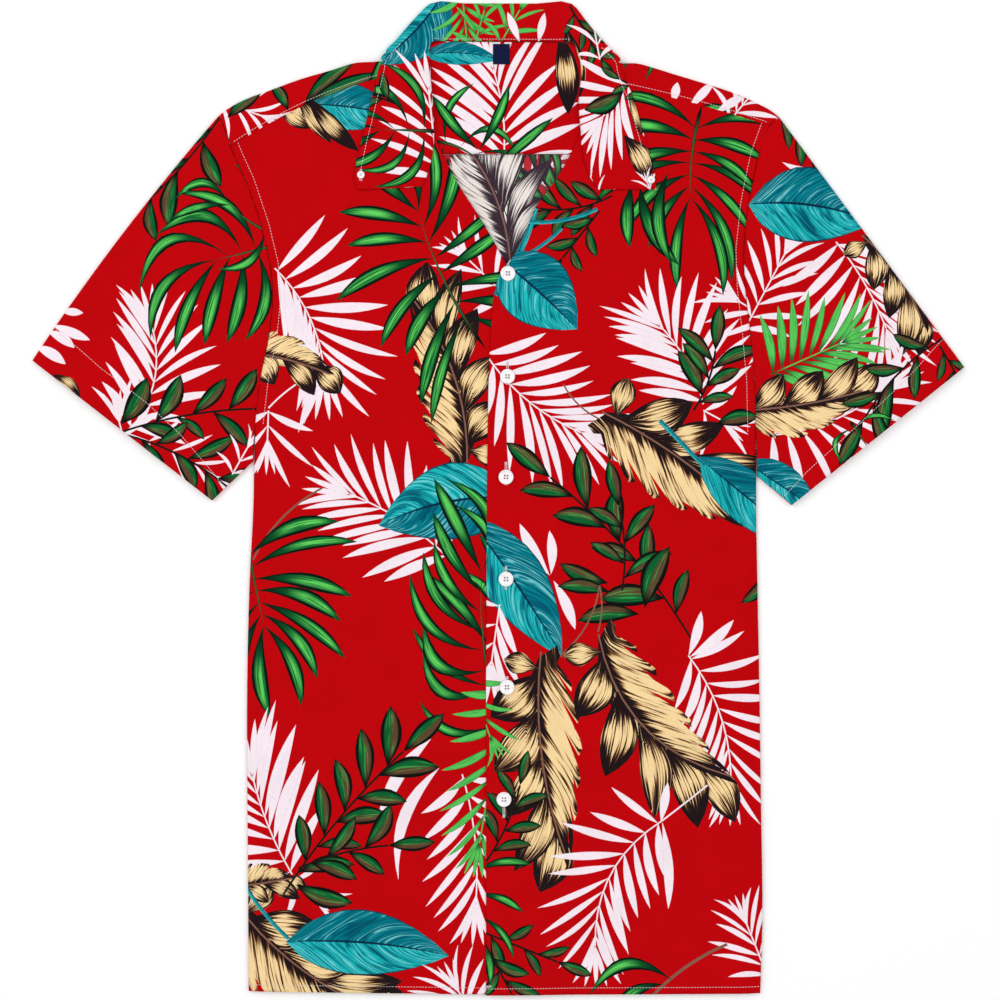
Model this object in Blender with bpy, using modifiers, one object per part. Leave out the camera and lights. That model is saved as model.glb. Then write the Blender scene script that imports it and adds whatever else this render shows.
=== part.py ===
"""A short-sleeved shirt laid flat on its back, front up: +Y towards the collar, +X the image's right.

Lengths in the tables are millimetres. Each piece of cloth is a sheet through the middle of its
wall, built column by column, and a Solidify modifier gives it the wall.
"""
import math

import bmesh
import bpy
from mathutils import Vector

MM = 0.001
WALL = 1.2
GAP = 0.3
LAYER = WALL + GAP
FLOOR = WALL / 2
TOP = FLOOR + 2 * LAYER
FOLD = (TOP - FLOOR) / 2
FOLD_STEPS = 5

# Outline of the body, from the hem to the underarm, then up the armhole to the tip of the shoulder.
SIDE = {
    "left": ((-200.1, -394), (-200.5, -330), (-201.2, -240), (-201.3, -150), (-199.5, -70), (-196.2, 0)),
    "right": ((209.8, -395.8), (211.5, -340), (210.5, -250), (209.3, -160), (207.8, -80), (206.6, -10)),
}
ARMHOLE = {
    "left": (
        (-195.9, 30.1), (-194.6, 62), (-190.5, 97), (-183.5, 132), (-180.9, 160), (-182.6, 188),
        (-189.9, 218.6), (-201.9, 254.6), (-211.8, 276.2), (-214.2, 282.6), (-223.5, 307.8),
    ),
    "right": (
        (206.7, 18.2), (206, 55), (205.2, 95), (201.5, 136), (197.6, 170), (196.6, 200),
        (200.3, 236), (205.4, 262), (208.8, 277), (216.9, 299), (225, 306.2),
    ),
}
# Inner edge of each front, one point for each row: hem, front edge, V, neckline, end of the yoke seam.
FRONT_EDGE = {
    "left": (
        (22, -397), (22, -333), (22, -243), (22, -150), (22, -70), (22, 0), (22, 30), (22, 62),
        (22, 97), (22, 130), (21.5, 157), (3.8, 193), (-13.1, 222.6), (-33, 254), (-49, 286), (-67, 343),
    ),
    "right": (
        (-9.9, -397), (-9.9, -340), (-9.9, -250), (-9.9, -160), (-9.6, -80), (-9.3, -8), (-9.1, 20),
        (-8.6, 55), (-7.8, 95), (-6, 134), (0.5, 178.6), (13, 196), (31, 235), (47.7, 258.6),
        (64, 290), (78, 335),
    ),
}
# How far the middle of each row bows up, as a share of the bow of the yoke seam, and how high it lifts.
ROW_BOW = (0, 0, 0, 0, 0, 0, 0, 0, 0, 0, 0.03, 0.1, 0.3, 0.55, 0.85, 1)
ROW_RISE = (0.3, 0.7, 1.1, 0.9, 1.3, 1.5, 1.2, 1.4, 1.0, 1.2, 1.3, 0.9, 0.2, 0, 0, 0)
YOKE_SEAM_BOW = {"left": 9.5, "right": 3}
UNDERARM_ROW = 6
# At the side seam a front comes down to the back over this share of its width.
SIDE_DIP, DIP_WIDTH = 1.5, 0.05
# The part of a front's width that lifts: where it begins, where it ends and the width of each slope.
LIFT_FROM, LIFT_TO, LIFT_SLOPE = 0.16, 0.6, 0.2
# Where the columns of a front lie, from its outer edge to its inner one.
COLUMNS = (0, 0.015, 0.04, 0.14, 0.28, 0.44, 0.6, 0.72, 0.8, 0.87, 1)
# The image-right front lies over the other as far as LAP_FULL in x and LAP_TOP in y.
LAP_FULL, LAP_NONE = 26, 58
LAP_TOP, LAP_FADE = 200, 34
BACK_COLUMNS = (0, 0.1, 0.22, 0.36, 0.5, 0.64, 0.78, 0.9, 1)
HEM_BOW = 2

BACK_SEAM = {"left": ((-211.8, 276.2), (-70, 276.5)), "right": ((208.8, 277), (82, 276.7))}
# The line of the shoulder's fold, from the armhole to the neck. It sinks a little under the collar.
SHOULDER = {
    "left": (
        (-223.5, 307.8), (-211.5, 317), (-186.4, 325.8), (-158.7, 335.4), (-112, 347), (-97, 348.2),
        (-68, 354),
    ),
    "right": (
        (225, 306.2), (217.6, 312.2), (194.6, 322.3), (171.7, 329.7), (127.6, 342.6), (112, 346.8),
        (100, 347.6), (80, 352.5),
    ),
}
# Rows of the yokes from the back seam to the fold, the row where the armhole bends, and how fast
# that bend dies out towards the neck.
YOKE_ROWS = {"left": (0, 0.2025, 0.4, 0.6, 0.8), "right": (0, 0.34, 0.68, 0.79, 0.89)}
BEND_ROW = {"left": 1, "right": 2}
BEND_FADE = 4
# Neck edge of both yokes between the shoulders, from left to right, and the back seam below it.
NECK_EDGE = ((-56, 364.6), (-48, 366.2), (-30, 366.2), (0, 366), (32, 365.8), (52, 365.4), (62, 363.4))
NECK_SEAM_Y = 276.6
INNER_YOKE_INSET = 4

# Sleeves: the hem's corner at the underarm, its corner at the top fold, and the bow of that fold.
SLEEVES = (
    ("left", (-229.1, -1.1), (-373.4, 111.4), 4),
    ("right", (234.7, -4.8), (373.3, 106), 0),
)
SLEEVE_STEPS = (0, 0.06, 0.25, 0.5, 0.75, 0.93, 1)
SLEEVE_PUFF = 1.4
HEM_OPENING = 1.6
UNDERARM_CLEARANCE = 0.7

# The collar, station by station: the leaf's tip on the left, round the back of the neck, to the
# right tip. Columns: inner edge x, y, height; its curl in degrees and the width turned under;
# the outer edge on the front, or the outer fold where the collar goes behind, x, y, height; then
# the edge behind x, y, or how many degrees the edge wraps where none of it lies behind.
COLLAR = (
    (-60.3, 250.2, 5.3, 22, 1, -113.6, 247.2, 5.2, 0),
    (-56.2, 262, 5.5, 24, 1, -116.2, 256, 5.2, 0),
    (-52.9, 275, 5.9, 28, 1, -114.3, 268, 5.3, 0),
    (-52, 292, 6.9, 60, 1, -110.2, 287, 5.5, 0),
    (-52, 300, 8.0, 120, 0.8, -108.4, 294, 5.8, 0),
    (-52.5, 309, 8.4, 180, 0.8, -106.2, 302.5, 6.1, 0),
    (-53.8, 326, 8.0, 180, 4.6, -102, 320, 6.4, 0),
    (-54.9, 340, 8.7, 180, 5, -98, 336, 6.9, 0),
    (-55, 348, 8.7, 165, 0.8, -96, 344.5, 7.0, 0),
    (-55, 353, 8.3, 120, 0.8, -95.2, 350, 7.0, 15),
    (-54.9, 356.5, 7.6, 70, 0.8, -94, 353.2, 6.9, 95),
    (-54.8, 359, 7.1, 50, 0.8, -92.8, 355.2, 6.8, 150),
    (-54.6, 361.5, 6.6, 30, 0.8, -90.2, 358.2, 6.7, (-87.6, 354.6)),
    (-53.6, 365.0, 6.1, 20, 1, -82.7, 366.6, 6.5, (-80.8, 355.4)),
    (-50.5, 367.2, 4.7, 0, 0, -75.5, 375.4, 5.6, (-72.5, 357.4)),
    (-46, 367, 3.6, 0, 0, -64.3, 388.2, 4.4, (-61, 358)),
    (-40, 366.9, 3.1, 0, 0, -54.7, 397.2, 3.6, (-50, 358)),
    (-22, 366.9, 3.1, 0, 0, -27, 397.4, 3.1, (-25, 357)),
    (1, 366.8, 3.1, 0, 0, 2, 397.4, 3.1, (1, 356.5)),
    (24, 366.7, 3.1, 0, 0, 31, 397.3, 3.1, (27, 357)),
    (44, 366.6, 3.1, 0, 0, 58.9, 397, 3.6, (53, 357.5)),
    (51, 366.6, 3.6, 0, 0, 69, 385, 4.4, (64.5, 357.5)),
    (56.5, 366.5, 4.7, 0, 0, 79, 372.5, 5.6, (75, 356.8)),
    (60.3, 364.4, 6.1, 20, 1, 86.6, 363.8, 6.5, (83.6, 355)),
    (61.9, 360.8, 6.6, 30, 0.8, 91.4, 359, 6.7, (89, 354.6)),
    (63.4, 357.4, 7.1, 50, 0.8, 95.2, 355.4, 6.8, 150),
    (64.6, 354, 7.6, 70, 0.8, 97.9, 351.9, 6.9, 95),
    (65.8, 350.5, 8.3, 120, 0.8, 98.9, 349.4, 7.0, 15),
    (66.5, 344, 8.7, 165, 0.8, 100, 343.4, 7.0, 0),
    (66.4, 335, 8.6, 180, 6, 102.6, 334, 6.9, 0),
    (64.9, 323, 8.0, 180, 5.6, 107.5, 324, 6.4, 0),
    (65.1, 309, 8.4, 180, 0.8, 111.6, 310, 6.1, 0),
    (65.8, 300, 8.0, 120, 0.8, 114.4, 300.5, 5.8, 0),
    (66.5, 292, 6.9, 60, 1, 116.8, 292.5, 5.5, 0),
    (68.4, 272, 5.9, 28, 1, 122.2, 274, 5.3, 0),
    (73, 258.5, 5.5, 24, 1, 126, 259, 5.2, 0),
    (80.2, 247.6, 5.3, 22, 1, 126.9, 247.8, 5.2, 0),
)
COLLAR_RAISE = 0.2
# The other layers climb over the collar's fall between these heights in y and distances from x = 0.
CLIMB_FROM, CLIMB_TO = 322, 342
CLIMB_FULL, CLIMB_NONE = 108, 136
CURL_RADIUS = 1.5
UNDER_STEPS = 2
CURL_STEPS = 4
FACE_STEPS = 5
BEHIND_STEPS = 3
COLLAR_STEPS = FACE_STEPS + FOLD_STEPS + BEHIND_STEPS

# Buttons: name, x, y, height of the underside, diameter.
BUTTONS = (
    ("button_1", 7.6, 180.5, 6.0, 12),
    ("button_2", 7.3, 98.2, 6.0, 12),
    ("button_3", 6.1, 17.8, 6.0, 12),
    ("button_4", 6.1, -63.8, 6.0, 12),
    ("button_5", 6.9, -150.2, 6.0, 12),
    ("button_6", 4.4, -239.8, 6.0, 12),
    ("tip_button_left", -109.9, 259.4, 6.25, 6),
    ("tip_button_right", 122.1, 255.4, 6.25, 6),
)
BUTTON_SIDES, HOLE_SIDES = 16, 6
# The 12 mm button's half profile as radius and height, and its sewing holes.
BUTTON_PROFILE = ((0, 0), (5.2, 0), (6, 0.6), (6, 1.5), (5.3, 2.1), (4.5, 2.1), (3.9, 1.6), (0, 1.6))
BUTTON_DIAMETER = 12
HOLE_PROFILE = ((0, -1), (0.75, -1), (0.75, 4), (0, 4))
HOLE_OFFSET = 1.5
LABEL = {"x": 2.4, "y": 356.2, "width": 13.4, "length": 16.3, "height": 4.75, "thickness": 0.6}

RED = (0.55, 0.005, 0.008, 1)
WHITE = (0.85, 0.82, 0.84, 1)
NAVY = (0.01, 0.012, 0.06, 1)


def clear_scene():
    for old in list(bpy.data.objects):
        bpy.data.objects.remove(old, do_unlink=True)


def material(name, colour, roughness):
    found = bpy.data.materials.get(name) or bpy.data.materials.new(name)
    found.use_nodes = True
    shader = found.node_tree.nodes["Principled BSDF"]
    shader.inputs["Base Color"].default_value = colour
    shader.inputs["Roughness"].default_value = roughness
    shader.inputs["Metallic"].default_value = 0
    return found


def smooth(share):
    share = min(1, max(0, share))
    return share * share * (3 - 2 * share)


def mix(a, b, share):
    return tuple(p + (q - p) * share for p, q in zip(a, b))


def along(line, share):
    """The point at this share of the line's length."""
    lengths = [math.dist(a, b) for a, b in zip(line, line[1:])]
    left = share * sum(lengths)
    for a, b, length in zip(line, line[1:], lengths):
        if left <= length:
            return mix(a, b, left / length)
        left -= length
    return line[-1]


def beside(line, distance):
    """The line moved sideways, to the left of its direction for a positive distance."""
    moved = []
    for i, point in enumerate(line):
        before = Vector(point) - Vector(line[i - 1]) if i else Vector(line[1]) - Vector(point)
        after = Vector(line[i + 1]) - Vector(point) if i + 1 < len(line) else before
        before, after = before.normalized(), after.normalized()
        side = Vector((-before.y - after.y, before.x + after.x)).normalized()
        stretch = 1 / max(0.5, side.dot(Vector((-before.y, before.x))))
        moved.append(tuple(Vector(point) + side * distance * stretch))
    return moved


def over_collar_fall(x, y):
    """How far the layers rise where the collar's fall lies under the yoke."""
    along_y = smooth((y - CLIMB_FROM) / (CLIMB_TO - CLIMB_FROM))
    across_x = smooth((CLIMB_NONE - abs(x)) / (CLIMB_NONE - CLIMB_FULL))
    return (LAYER + COLLAR_RAISE) * along_y * across_x


def fold_over(base, edge, height, radius, lower_first=True, wrap=180):
    """A turn of cloth whose outside reaches the edge, from the flat part below to the one above."""
    out = (Vector(edge) - Vector(base)).normalized()
    centre = Vector(edge) - out * (radius + WALL / 2)
    turn = []
    for step in range(FOLD_STEPS + 1):
        angle = math.radians(180 - wrap * (1 - step / FOLD_STEPS))
        point = centre + out * radius * math.sin(angle)
        turn.append((point.x, point.y, height - radius * math.cos(angle)))
    return turn if lower_first else turn[::-1]


def cloth(name, columns, fabric, ring=False):
    """A sheet from columns of points. Neighbours are joined as far as both reach."""
    mesh = bmesh.new()
    rows = [[mesh.verts.new(Vector(point) * MM) for point in column] for column in columns]
    for left, right in zip(rows, rows[1:]):
        reach = min(len(left), len(right))
        for i in range(reach if ring else reach - 1):
            j = (i + 1) % reach
            mesh.faces.new((left[i], right[i], right[j], left[j]))
    bmesh.ops.recalc_face_normals(mesh, faces=mesh.faces)
    data = bpy.data.meshes.new(name)
    mesh.to_mesh(data)
    mesh.free()
    data.materials.append(fabric)
    piece = bpy.data.objects.new(name, data)
    bpy.context.scene.collection.objects.link(piece)
    wall = piece.modifiers.new("wall", "SOLIDIFY")
    wall.thickness = WALL * MM
    wall.offset = 0
    wall.use_even_offset = True
    return piece


def outline(side):
    """Outer edge of the body below the yoke, half a gap inside the armhole seam."""
    inward = -GAP / 2 if side == "left" else GAP / 2
    armhole = beside(ARMHOLE[side], inward)
    return list(SIDE[side]) + armhole[:-1]


def lap(x, y):
    """Rise of the image-right front where it lies over the other."""
    beside_it = 1 - smooth((x - LAP_FULL) / (LAP_NONE - LAP_FULL))
    below_the_neck = 1 - smooth((y - LAP_TOP) / LAP_FADE)
    return LAYER * beside_it * below_the_neck


def seam_row(side, share, row):
    """A point of a front's row in plan, at this share from the outer edge to the inner one."""
    x, y = mix(outline(side)[row], FRONT_EDGE[side][row], share)
    return x, y + YOKE_SEAM_BOW[side] * ROW_BOW[row] * 4 * share * (1 - share)


def front(side, fabric):
    columns = []
    last = len(ROW_BOW) - 1
    for share in COLUMNS:
        column = []
        for row in range(len(ROW_BOW)):
            x, y = seam_row(side, share, row)
            if row == last:
                y -= GAP / 2
            middle = smooth(share / LIFT_FROM) * smooth((LIFT_TO - share) / LIFT_SLOPE)
            z = TOP + ROW_RISE[row] * middle + over_collar_fall(x, y)
            if row <= UNDERARM_ROW:
                z -= SIDE_DIP * (1 - smooth(share / DIP_WIDTH))
            if side == "right":
                z += lap(x, y)
            column.append((x, y, z))
        columns.append(column)
    return cloth("front_" + side, columns, fabric)


def back(fabric):
    left, right = outline("left")[:-1], outline("right")[:-1]
    left[-1] = (left[-1][0], left[-1][1] - GAP / 2)
    right[-1] = (right[-1][0], right[-1][1] - GAP / 2)
    columns = []
    for share in BACK_COLUMNS:
        column = []
        for row, (a, b) in enumerate(zip(left, right)):
            x, y = mix(a, b, share)
            if row == 0:
                y -= HEM_BOW * 4 * share * (1 - share)
            column.append((x, y, FLOOR))
        columns.append(column)
    return cloth("back", columns, fabric)


def yoke_plan(side, share):
    """The yoke's column in plan, from the back seam up to the shoulder's fold, and that fold's edge."""
    armhole = beside(ARMHOLE[side], -GAP / 2 if side == "left" else GAP / 2)
    seam, edge = along(BACK_SEAM[side], share), along(SHOULDER[side], share)
    if share == 0:
        seam, edge = armhole[-3], armhole[-1]
    rows, at = YOKE_ROWS[side], YOKE_ROWS[side][BEND_ROW[side]]
    bend = Vector(armhole[-2]) - Vector(mix(armhole[-3], armhole[-1], at))
    plan = []
    for row in rows:
        tent = row / at if row < at else (1 - row) / (1 - at)
        moved = Vector(mix(seam, edge, row)) + bend * tent * (1 - share) ** BEND_FADE
        plan.append(tuple(moved))
    plan[0] = (plan[0][0], plan[0][1] + GAP / 2)
    return plan, edge


def yoke_column(side, share):
    """From the back seam up over the shoulder's fold and down to the front yoke seam."""
    plan, edge = yoke_plan(side, share)
    turn = fold_over(plan[-1], edge, FLOOR + FOLD + over_collar_fall(*edge), FOLD)
    end = seam_row(side, share, len(ROW_BOW) - 1)
    end = (end[0], end[1] + GAP / 2)
    column = [(x, y, FLOOR + over_collar_fall(x, y)) for x, y in plan]
    middle = mix(turn[-1][:2], end, 0.5)
    front_part = [(x, y, TOP + over_collar_fall(x, y)) for x, y in (middle, end)]
    return column + turn + front_part


def neck_plan(point):
    """A column in the middle of the yoke, up to the neck seam."""
    share = (point[0] - NECK_EDGE[0][0]) / (NECK_EDGE[-1][0] - NECK_EDGE[0][0])
    rows = mix(YOKE_ROWS["left"], YOKE_ROWS["right"], share)
    seam = (point[0], NECK_SEAM_Y + GAP / 2)
    return [mix(seam, point, row) for row in (*rows, 1)]


def yoke(fabric):
    columns = [yoke_column("left", share) for share in COLUMNS]
    for point in NECK_EDGE:
        columns.append([(x, y, FLOOR + over_collar_fall(x, y)) for x, y in neck_plan(point)])
    columns += [yoke_column("right", share) for share in reversed(COLUMNS)]
    return cloth("yoke", columns, fabric)


def inner_yoke(fabric):
    """The layer inside the neck, as far as the shoulder's fold."""
    plans = []
    for side, shares in (("left", COLUMNS[2:]), ("right", COLUMNS[:1:-1])):
        for share in shares:
            plan, edge = yoke_plan(side, share)
            inset = (Vector(edge) - Vector(plan[-1])).normalized() * INNER_YOKE_INSET
            plans.append(plan + [tuple(Vector(edge) - inset)])
        if side == "left":
            plans += [neck_plan(point) for point in NECK_EDGE]
    low = FLOOR + LAYER
    columns = [[(x, y, low + over_collar_fall(x, y)) for x, y in plan] for plan in plans]
    return cloth("inner_yoke", columns, fabric)


def sleeve(side, under_corner, top_corner, bow, fabric):
    """A flattened tube: up the front from the underarm, round the top fold and back beneath."""
    outward = GAP / 2 if side == "left" else -GAP / 2
    armhole = beside(ARMHOLE[side], outward)
    armhole[0] = (armhole[0][0] + math.copysign(UNDERARM_CLEARANCE, armhole[0][0]), armhole[0][1])
    lengths = [math.dist(armhole[0], point) for point in armhole]
    outside = (Vector(top_corner) - Vector(under_corner)).normalized()
    columns = []
    for step in SLEEVE_STEPS:
        line = []
        for point, length in zip(armhole, lengths):
            share = length / lengths[-1]
            x, y = mix(point, mix(under_corner, top_corner, share), step)
            push = outside * bow * 4 * step * (1 - step) * share
            line.append((x + push.x, y + push.y))
        top_turn = fold_over(line[-2], line[-1], FLOOR + FOLD, FOLD, lower_first=False)
        under_turn = fold_over(line[1], line[0], FLOOR + FOLD, FOLD)
        inner = line[1:-1]
        ring = []
        for i, (x, y) in enumerate(inner):
            middle = math.sin(math.pi * (i + 1) / (len(inner) + 1))
            lifted = SLEEVE_PUFF * math.sin(math.pi * step) + HEM_OPENING * smooth(2 * step - 1)
            ring.append((x, y, TOP + lifted * middle))
        ring += top_turn
        ring += [(x, y, FLOOR) for x, y in reversed(inner)]
        ring += under_turn
        columns.append(ring)
    return cloth("sleeve_" + side, columns, fabric, ring=True)


def collar_column(station):
    x, y, z, curl, under, edge_x, edge_y, edge_z, behind = station
    inner, edge = Vector((x, y)), Vector((edge_x, edge_y))
    out = (edge - inner).normalized()
    column = []
    if curl:
        turned = math.radians(curl)
        centre, middle = inner + out * CURL_RADIUS, z - CURL_RADIUS
        end = centre - out * CURL_RADIUS * math.sin(turned)
        end_z = middle + CURL_RADIUS * math.cos(turned)
        for step in range(UNDER_STEPS, 0, -1):
            away = under * step / UNDER_STEPS
            point = end - out * away * math.cos(turned)
            column.append((point.x, point.y, end_z - away * math.sin(turned)))
        for step in range(CURL_STEPS, -1, -1):
            angle = turned * step / CURL_STEPS
            point = centre - out * CURL_RADIUS * math.sin(angle)
            column.append((point.x, point.y, middle + CURL_RADIUS * math.cos(angle)))
        start = centre
    else:
        edge_part = UNDER_STEPS + CURL_STEPS
        for step in range(edge_part + 1):
            point = inner + out * step
            column.append((point.x, point.y, z))
        start = inner + out * edge_part
    low = FLOOR + COLLAR_RAISE
    radius = (edge_z - low) / 2
    if behind == 0:
        turn, steps = [(edge.x - out.x * WALL / 2, edge.y - out.y * WALL / 2, edge_z)], COLLAR_STEPS
    elif isinstance(behind, tuple):
        turn, steps = fold_over(inner, edge, low + radius, radius, lower_first=False), FACE_STEPS
    else:
        turn = fold_over(inner, edge, low + radius, radius, lower_first=False, wrap=behind)
        steps = FACE_STEPS + BEHIND_STEPS
    for step in range(1, steps + 1):
        share = step / (steps + 1)
        px, py = mix(tuple(start), turn[0][:2], share)
        column.append((px, py, z + (edge_z - z) * smooth((share - 0.1) / 0.6)))
    column += turn
    if isinstance(behind, tuple):
        for step in range(1, BEHIND_STEPS + 1):
            px, py = mix(turn[-1][:2], behind, step / BEHIND_STEPS)
            column.append((px, py, low))
    return column


def collar(fabric):
    return cloth("collar", [collar_column(station) for station in COLLAR], fabric)


def turned(name, profile, segments, plastic):
    """A solid of revolution about its own Z axis, from (radius, height) pairs on the axis at both ends."""
    mesh = bmesh.new()
    rings = []
    for radius, height in profile:
        if radius == 0:
            rings.append([mesh.verts.new((0, 0, height * MM))])
            continue
        ring = []
        for i in range(segments):
            angle = 2 * math.pi * i / segments
            point = Vector((radius * math.cos(angle), radius * math.sin(angle), height))
            ring.append(mesh.verts.new(point * MM))
        rings.append(ring)
    for low, high in zip(rings, rings[1:]):
        for i in range(segments):
            j = (i + 1) % segments
            corners = [low[i % len(low)], low[j % len(low)], high[j % len(high)], high[i % len(high)]]
            mesh.faces.new(list(dict.fromkeys(corners)))
    bmesh.ops.recalc_face_normals(mesh, faces=mesh.faces)
    data = bpy.data.meshes.new(name)
    mesh.to_mesh(data)
    mesh.free()
    for face in data.polygons:
        face.use_smooth = True
    data.materials.append(plastic)
    return bpy.data.objects.new(name, data)


def button(name, x, y, z, diameter, plastic, cutters):
    """A disc with a raised rim and four sewing holes."""
    size = diameter / BUTTON_DIAMETER
    profile = [(radius * size, height * size) for radius, height in BUTTON_PROFILE]
    hole_profile = [(radius * size, height) for radius, height in HOLE_PROFILE]
    body = turned(name, profile, BUTTON_SIDES, plastic)
    body.location = (x * MM, y * MM, z * MM)
    bpy.context.scene.collection.objects.link(body)
    for i in range(4):
        angle = math.radians(45 + 90 * i)
        hole = turned(f"{name}_hole_{i + 1}", hole_profile, HOLE_SIDES, plastic)
        away = HOLE_OFFSET * size
        hole.location = ((x + away * math.cos(angle)) * MM, (y + away * math.sin(angle)) * MM, z * MM)
        hole.display_type = "WIRE"
        hole.hide_render = True
        cutters.objects.link(hole)
        cut = body.modifiers.new(f"hole_{i + 1}", "BOOLEAN")
        cut.object = hole
        cut.solver = "EXACT"
    return body


def label(weave):
    size = (LABEL["width"], LABEL["length"], LABEL["thickness"])
    mesh = bmesh.new()
    bmesh.ops.create_cube(mesh, size=1)
    bmesh.ops.scale(mesh, vec=[side * MM for side in size], verts=mesh.verts)
    data = bpy.data.meshes.new("label")
    mesh.to_mesh(data)
    mesh.free()
    data.materials.append(weave)
    piece = bpy.data.objects.new("label", data)
    piece.location = (LABEL["x"] * MM, LABEL["y"] * MM, (LABEL["height"] + LABEL["thickness"] / 2) * MM)
    bpy.context.scene.collection.objects.link(piece)
    return piece


def centre(pieces):
    """Hangs everything from an empty that puts the middle of the outline at the origin."""
    bpy.context.view_layer.update()
    graph = bpy.context.evaluated_depsgraph_get()
    corners = []
    for piece in pieces:
        shown = piece.evaluated_get(graph)
        corners += [shown.matrix_world @ Vector(corner) for corner in shown.bound_box]
    low = [min(corner[i] for corner in corners) for i in range(3)]
    high = [max(corner[i] for corner in corners) for i in range(3)]
    middle = bpy.data.objects.new("shirt", None)
    bpy.context.scene.collection.objects.link(middle)
    middle.location = (-(low[0] + high[0]) / 2, -(low[1] + high[1]) / 2, -low[2])
    for piece in bpy.data.objects:
        if piece is not middle:
            piece.parent = middle


clear_scene()
fabric = material("printed_cotton", RED, 0.85)
plastic = material("button_white", WHITE, 0.3)
weave = material("label_navy", NAVY, 0.8)
cutters = bpy.data.collections.new("button_cutters")
bpy.context.scene.collection.children.link(cutters)

shirt = [back(fabric), yoke(fabric), inner_yoke(fabric), front("left", fabric), front("right", fabric)]
shirt += [sleeve(*row, fabric) for row in SLEEVES]
shirt += [collar(fabric), label(weave)]
shirt += [button(*row, plastic, cutters) for row in BUTTONS]
centre(shirt)
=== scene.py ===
# A red short-sleeved shirt with a printed leaf pattern, laid flat with its front up.
# Lengths in the tables are millimetres: x to the right of the picture, y towards the collar, z up.
import math
import random

import bmesh
import bpy
import numpy as np
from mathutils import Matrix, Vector, noise
from mathutils.bvhtree import BVHTree
from mathutils.geometry import barycentric_transform, delaunay_2d_cdt


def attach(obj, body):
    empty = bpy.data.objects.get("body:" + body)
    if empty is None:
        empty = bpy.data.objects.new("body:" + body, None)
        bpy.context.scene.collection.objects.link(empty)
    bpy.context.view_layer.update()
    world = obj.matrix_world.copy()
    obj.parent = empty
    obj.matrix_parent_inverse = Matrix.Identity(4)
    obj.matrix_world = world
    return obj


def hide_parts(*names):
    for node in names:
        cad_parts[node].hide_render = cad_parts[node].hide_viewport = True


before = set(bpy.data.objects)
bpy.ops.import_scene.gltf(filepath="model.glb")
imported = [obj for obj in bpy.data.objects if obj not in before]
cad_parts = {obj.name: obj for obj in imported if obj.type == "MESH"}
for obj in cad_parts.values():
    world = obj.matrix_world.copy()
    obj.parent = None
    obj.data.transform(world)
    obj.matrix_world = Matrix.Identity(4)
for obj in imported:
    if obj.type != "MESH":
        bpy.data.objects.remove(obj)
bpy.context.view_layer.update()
MM = 0.001

# The back
# One cotton panel from the yoke seam to the hem, cut from the printed cloth, with its printed side
# to the table. Only its pale wrong side shows, inside the open neck.

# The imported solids' wall, the room between them, the step from one layer to the next, and the heights of
# the middle of the lowest layer and of the top one.
WALL, GAP, LAYER, FLOOR, TOP = 1.2, 0.3, 1.5, 0.6, 3.6
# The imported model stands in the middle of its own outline, this far from the tables' zero.
SHIFT = (0.05, -0.2, 0.02)
# The shell that is drawn for the cloth, and how deep and how wide it rolls in along its edges.
CLOTH_THICKNESS, SEAM_ROLL, SEAM_ROLL_WIDTH = 0.5, 0.5, 1.3
# The body's sides from the hem up, and the armholes from the underarm up.
SIDE = {
    "left": ((-200.1, -394), (-200.5, -330), (-201.2, -240), (-201.3, -150), (-199.5, -70), (-196.2, 0)),
    "right": ((209.8, -395.8), (211.5, -340), (210.5, -250), (209.3, -160), (207.8, -80), (206.6, -10)),
}
ARMHOLE = {
    "left": (
        (-195.9, 30.1), (-194.6, 62), (-190.5, 97), (-183.5, 132), (-180.9, 160), (-182.6, 188),
        (-189.9, 218.6), (-201.9, 254.6), (-211.8, 276.2), (-214.2, 282.6), (-223.5, 307.8),
    ),
    "right": (
        (206.7, 18.2), (206, 55), (205.2, 95), (201.5, 136), (197.6, 170), (196.6, 200),
        (200.3, 236), (205.4, 262), (208.8, 277), (216.9, 299), (225, 306.2),
    ),
}
# Where the back's columns of points stand, as shares of its width, and how far its hem bows down.
BACK_COLUMNS, HEM_BOW = (0, 0.1, 0.22, 0.36, 0.5, 0.64, 0.78, 0.9, 1), 2
# The cloth's unevenness: how long its broad and its small waves are across and along the shirt, how high
# the small ones are beside the broad ones, and how far apart their noise is taken.
BROAD_WAVES, SMALL_WAVES, SMALL_SHARE, SMALL_SHIFT = (55, 80), (16, 24), 0.35, 7.5
# How bluntly a crease fades out towards its ends.
CREASE_FADE = 0.7


def smooth(share):
    share = min(1, max(0, share))
    return share * share * (3 - 2 * share)


def mix(a, b, share):
    return tuple(p + (q - p) * share for p, q in zip(a, b))


def beside(line, distance):
    """The line moved sideways, to the left of its direction for a positive distance."""
    moved = []
    for i, point in enumerate(line):
        before = Vector(point) - Vector(line[i - 1]) if i else Vector(line[1]) - Vector(point)
        after = Vector(line[i + 1]) - Vector(point) if i + 1 < len(line) else before
        before, after = before.normalized(), after.normalized()
        side = Vector((-before.y - after.y, before.x + after.x)).normalized()
        stretch = 1 / max(0.5, side.dot(Vector((-before.y, before.x))))
        moved.append(tuple(Vector(point) + side * distance * stretch))
    return moved


def armhole_line(side, inward):
    """The armhole moved towards the body."""
    return beside(ARMHOLE[side], -inward if side == "left" else inward)


def outline(side):
    """Outer edge of the body below the yoke, half a gap inside the armhole seam."""
    return list(SIDE[side]) + armhole_line(side, GAP / 2)[:-1]


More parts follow.
